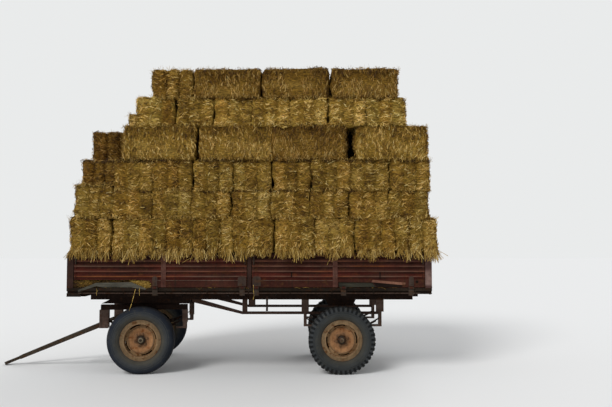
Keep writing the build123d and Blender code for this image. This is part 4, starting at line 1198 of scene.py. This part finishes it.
# The rails' lower edges: light strips as painted highlights
rail_edge_height = 0.9735
rail_edge_size = (4.0, 0.005)
for side, sign in sides.values():
    middle = sign * (bed_front + bed_rear) / 2
    prism("wagon", "edge", side, oblong(*rail_edge_size, (middle, rail_edge_height)), -0.002, 0.006)

# The rear left gate's torn band: a bare mossy stretch, a near-black sheet as painted shade in the gap, then a
# loose red strip.
# Columns: finish, level, rise, corners behind the gate's front and their heights
torn = gate_box["gate_rear_left"][0].x
torn_pieces = (
    ("grey", -0.018, 0.002, ((1.014, 1.043), (1.452, 1.043), (1.411, 1.094), (1.014, 1.098))),
    ("dark", 0.0, 0.0015, ((1.462, 1.043), (1.76, 1.043), (1.76, 1.066), (1.42, 1.098))),
    ("torn", 0.0, 0.009, ((1.40, 1.100), (1.79, 1.066), (1.80, 1.094), (1.41, 1.128))),
)
for finish, level, rise, corners in torn_pieces:
    face = left @ Matrix.Translation((0, 0, level))
    prism("gate_rear_left", finish, face, [(torn + x, z) for x, z in corners], -0.001, rise)

# Rails: bolt heads over each joist's end, and a rope hook under each
joist_inset = 0.04
joist_bolts = 9
rail_bolt_heights = (0.972, 1.0)
rope_hook_back = 2.345
# The hook's upright and its foot. Columns: height, level of its middle, how far out it reaches
hook_parts = ((0.17, 0.848, -0.042), (0.02, 0.773, -0.02))
hook_width = 0.024
for side, sign in sides.values():
    places = np.linspace(joist_lo.x + joist_inset, joist_hi.x - joist_inset, joist_bolts)
    bolts("wagon", "rail", side, [sign * x for x in places], rail_bolt_heights, 0.008, 0.005)
    x = sign * (bed_front + rope_hook_back)
    for height, z, out in hook_parts:
        prism("wagon", "chassis", side, oblong(hook_width, height, (x, z)), -0.05, out)

# Beams: bolts where the hangers and the truss posts meet them
hanger_backs = (2.047, 2.793, 3.717, 0.3, 1.2)
hanger_bolt_spread = 0.028
hanger_bolt_heights = (0.882, 0.91)
for side, sign in ((-1, 1), (1, -1)):
    face = facing((0, side * beam_side, 0), (0, side, 0))
    across = [
        sign * (bed_front + back + spread)
        for back in hanger_backs for spread in (-hanger_bolt_spread, hanger_bolt_spread)
    ]
    bolts("wagon", "chassis", face, across, hanger_bolt_heights, 0.010, 0.007)

# Dark marks on the rear left gate. Columns: back of the bed's front, level, width, height
side_marks = ((2.632, 1.189, 0.014, 0.058), (3.670, 1.182, 0.014, 0.075), (4.101, 1.104, 0.030, 0.030))
for back, z, width, height in side_marks:
    prism("gate_rear_left", "dark", left, oblong(width, height, (bed_front + back, z)), -0.002, 0.0015)

# Drawbar: nuts on its pins
pin_reach = (0.352, 0.448)
pivot, axis = (Vector(joints["drawbar_hinge"][key]) for key in ("pos_m", "axis"))
for side in (-1, 1):
    for reach in pin_reach:
        end = facing(pivot + axis * side * reach, axis * side)
        prism("bogie", "nuts", end, circle(0.02, 6), -0.004, 0.004)

# Columns: finish, material, slot
finishes = {
    "iron": ("hub_iron", "hub_iron"),
    "drum": ("hollow", "hub_iron"),
    "torn": ("torn_paint", "side_paint"),
    "nuts": ("hub_iron", "hub_iron"),
    "wheel_nuts": ("nut_paint", "wheel_paint"),
    "strap": ("strap_paint", "side_paint"),
    "edge": ("worn_edge", "rail_paint"),
    "stile": ("stile_paint", "side_paint"),
    "grey": ("mossy_strip", "side_paint"),
    "bright": ("worn_steel", "hub_iron"),
    "rim": ("wheel_paint", "wheel_paint"),
    "front_rubber": ("front_tyre_rubber", "tyre"),
    "rear_rubber": ("rear_tyre_rubber", "tyre"),
    "side": ("plain_side_paint", "side_paint"),
    "rail": ("rail_paint", "rail_paint"),
    "chassis": ("chassis_paint", "chassis_paint"),
    "dark": ("hollow", "side_paint"),
}
for (body, finish), (points, polygons) in gathered.items():
    mesh = bpy.data.meshes.new(f"{body}_{finish}")
    mesh.from_pydata([tuple(point) for point in points], [], polygons)
    mesh.update()
    material, slot_name = finishes[finish]
    ride_piece(f"{body}_{finish}_details", mesh, material, body)


# Loose straws: caught on the rails, hanging from the sides, lying on the bed's ledges

bend_size = 0.006
bend_overlap = 0.004


def loose_stems(name, rows, body="wagon"):
    """Bent loose straws from rows of (start, end, width, tone), each of three pieces."""
    centres, directions, widths, lengths, tones = [], [], [], [], []
    for start, end, width, tone in rows:
        start, end = np.array(start), np.array(end)
        bends = [start + (end - start) * part + rng.normal(size=3) * bend_size for part in (1 / 3, 2 / 3)]
        bends = [start, *bends, end]
        for a, b in zip(bends, bends[1:]):
            length = np.linalg.norm(b - a)
            centres.append((a + b) / 2)
            directions.append((b - a) / length)
            lengths.append(length + bend_overlap)
            widths.append(width)
            tones.append(tone)
    points, faces = stems(*(np.array(values) for values in (centres, directions, widths, lengths)))
    straw_piece(name, points, faces, "straw", body, np.repeat(straw_colour(np.array(tones)), 4, axis=0))


# Columns: body, back of the bed's front and height of both ends, width
hanging = (
    ("wagon", 0.809, 1.019, 0.738, 0.764, 0.007),
    ("wagon", 0.862, 1.040, 0.858, 0.949, 0.006),
    ("wagon", 0.355, 1.030, 0.358, 0.949, 0.005),
    ("wagon", 2.189, 1.068, 2.186, 0.902, 0.006),
    ("gate_front_left", 1.351, 1.324, 1.457, 1.382, 0.006),
    ("gate_rear_left", 3.05, 1.30, 3.10, 1.40, 0.005),
)
hanging_tone = 0.8
for body in ("wagon", "gate_front_left", "gate_rear_left"):
    rows = [
        (
            (bed_front + back_a, -bed_side - 0.012, high_a),
            (bed_front + back_b, -bed_side - 0.016, high_b), width, hanging_tone,
        )
        for carrier, back_a, high_a, back_b, high_b, width in hanging if carrier == body
    ]
    loose_stems(f"{body}_loose_straws", rows, body)
rows = []
# Straw behind the lost band, its lower tones partly painted shade from the panel. Columns: back of the bed's front
# from and to, count, lowest tone
peeking = (
    (0.05, 0.16, 110, -0.25), (0.14, 0.3, 110, 0.0), (0.3, 0.72, 160, -0.25), (0.74, 0.97, 240, 0.3),
)
for start, end, count, tone in peeking:
    for _ in range(count):
        place = np.array((bed_front + rng.uniform(start, end), 0.015 - bed_side, rng.uniform(1.045, 1.118)))
        turn = rng.normal(size=3) * (0.022, 0.004, 0.011)
        rows.append((place - turn, place + turn, 0.005, rng.uniform(tone, min(1.0, tone + 0.5))))
ledge_straws = 35
ledge_level = floor_top + 0.003
for side in (-1, 1):
    for _ in range(ledge_straws):
        x = rng.uniform(bed_front + 0.1, bed_rear - 0.1)
        y = side * (bed_side - rng.uniform(0.0, 0.02))
        along, down = polar(rng.uniform(0.03, 0.09), rng.normal() * 0.5)
        tip = (x + along, y + 0.012 * rng.normal(), ledge_level - abs(down) * 0.5)
        rows.append(((x, y, ledge_level), tip, 0.004, rng.uniform(0.15, 0.7)))
loose_stems("ledge_straws", rows)


# Floor, backdrop and light

floor_size = 120.0
bpy.ops.mesh.primitive_plane_add(size=floor_size, location=(0, 0, 0))
floor = bpy.context.object
floor.name = "studio_floor"
floor_paint = new_material("studio_floor", 1.0, 0.0)
floor_paint.colour((0.86, 0.86, 0.85, 1))
floor.data.materials.append(floor_paint.owner)

sky_strength = 0.55
backdrop_strength = 0.83
world = bpy.data.worlds.new("studio")
bpy.context.scene.world = world
air = Shading("studio", world, "Background")
air.set(air.shader, {"Color": (0.95, 0.97, 1.0, 1), "Strength": sky_strength})
backdrop = air.add("Background", {"Color": (0.985, 1.0, 1.0, 1), "Strength": backdrop_strength})
ray = air.add("LightPath").outputs
seen = air.maths("ADD", ray["Is Camera Ray"], ray["Is Glossy Ray"])
seen = air.maths("ADD", seen, ray["Is Transmission Ray"])
seen = air.maths("MINIMUM", seen, 1.0)
shown = air.add("MixShader", {"Fac": seen, 1: air.shader.outputs[0], 2: backdrop.outputs[0]})
air.set(air.tree.nodes["World Output"], {"Surface": shown.outputs[0]})

# Lamps. Columns: name, where it stands, strength, width of its disc of light in degrees
lamps = (
    ("key", (-0.42, -0.72, 0.62), 1.7, 22),
    ("back", (0.5, 0.75, 0.7), 0.6, 40),
)
for name, towards, strength, angle in lamps:
    lamp = bpy.data.lights.new(name, "SUN")
    lamp.energy = strength
    lamp.angle = math.radians(angle)
    holder = add_object(name, lamp)
    holder.rotation_euler = Vector(towards).to_track_quat("Z", "Y").to_euler()

# Camera: at eye height, square to the wagon's side, tilted up a little
camera_behind_bed_front = 2.803
camera_distance = 9.35
camera_height = 1.57
camera_tilt = 3.1
focal_px = 712.0
image_width_px = 612.0
camera_data = bpy.data.cameras.new("camera")
camera_data.sensor_width = 36.0
camera_data.lens = focal_px / image_width_px * camera_data.sensor_width
camera = add_object("camera", camera_data)
camera.location = (bed_front + camera_behind_bed_front, -camera_distance, camera_height)
camera.rotation_euler = (math.radians(90 + camera_tilt), 0, 0)
bpy.context.scene.camera = camera
bpy.context.scene.view_settings.view_transform = "Standard"
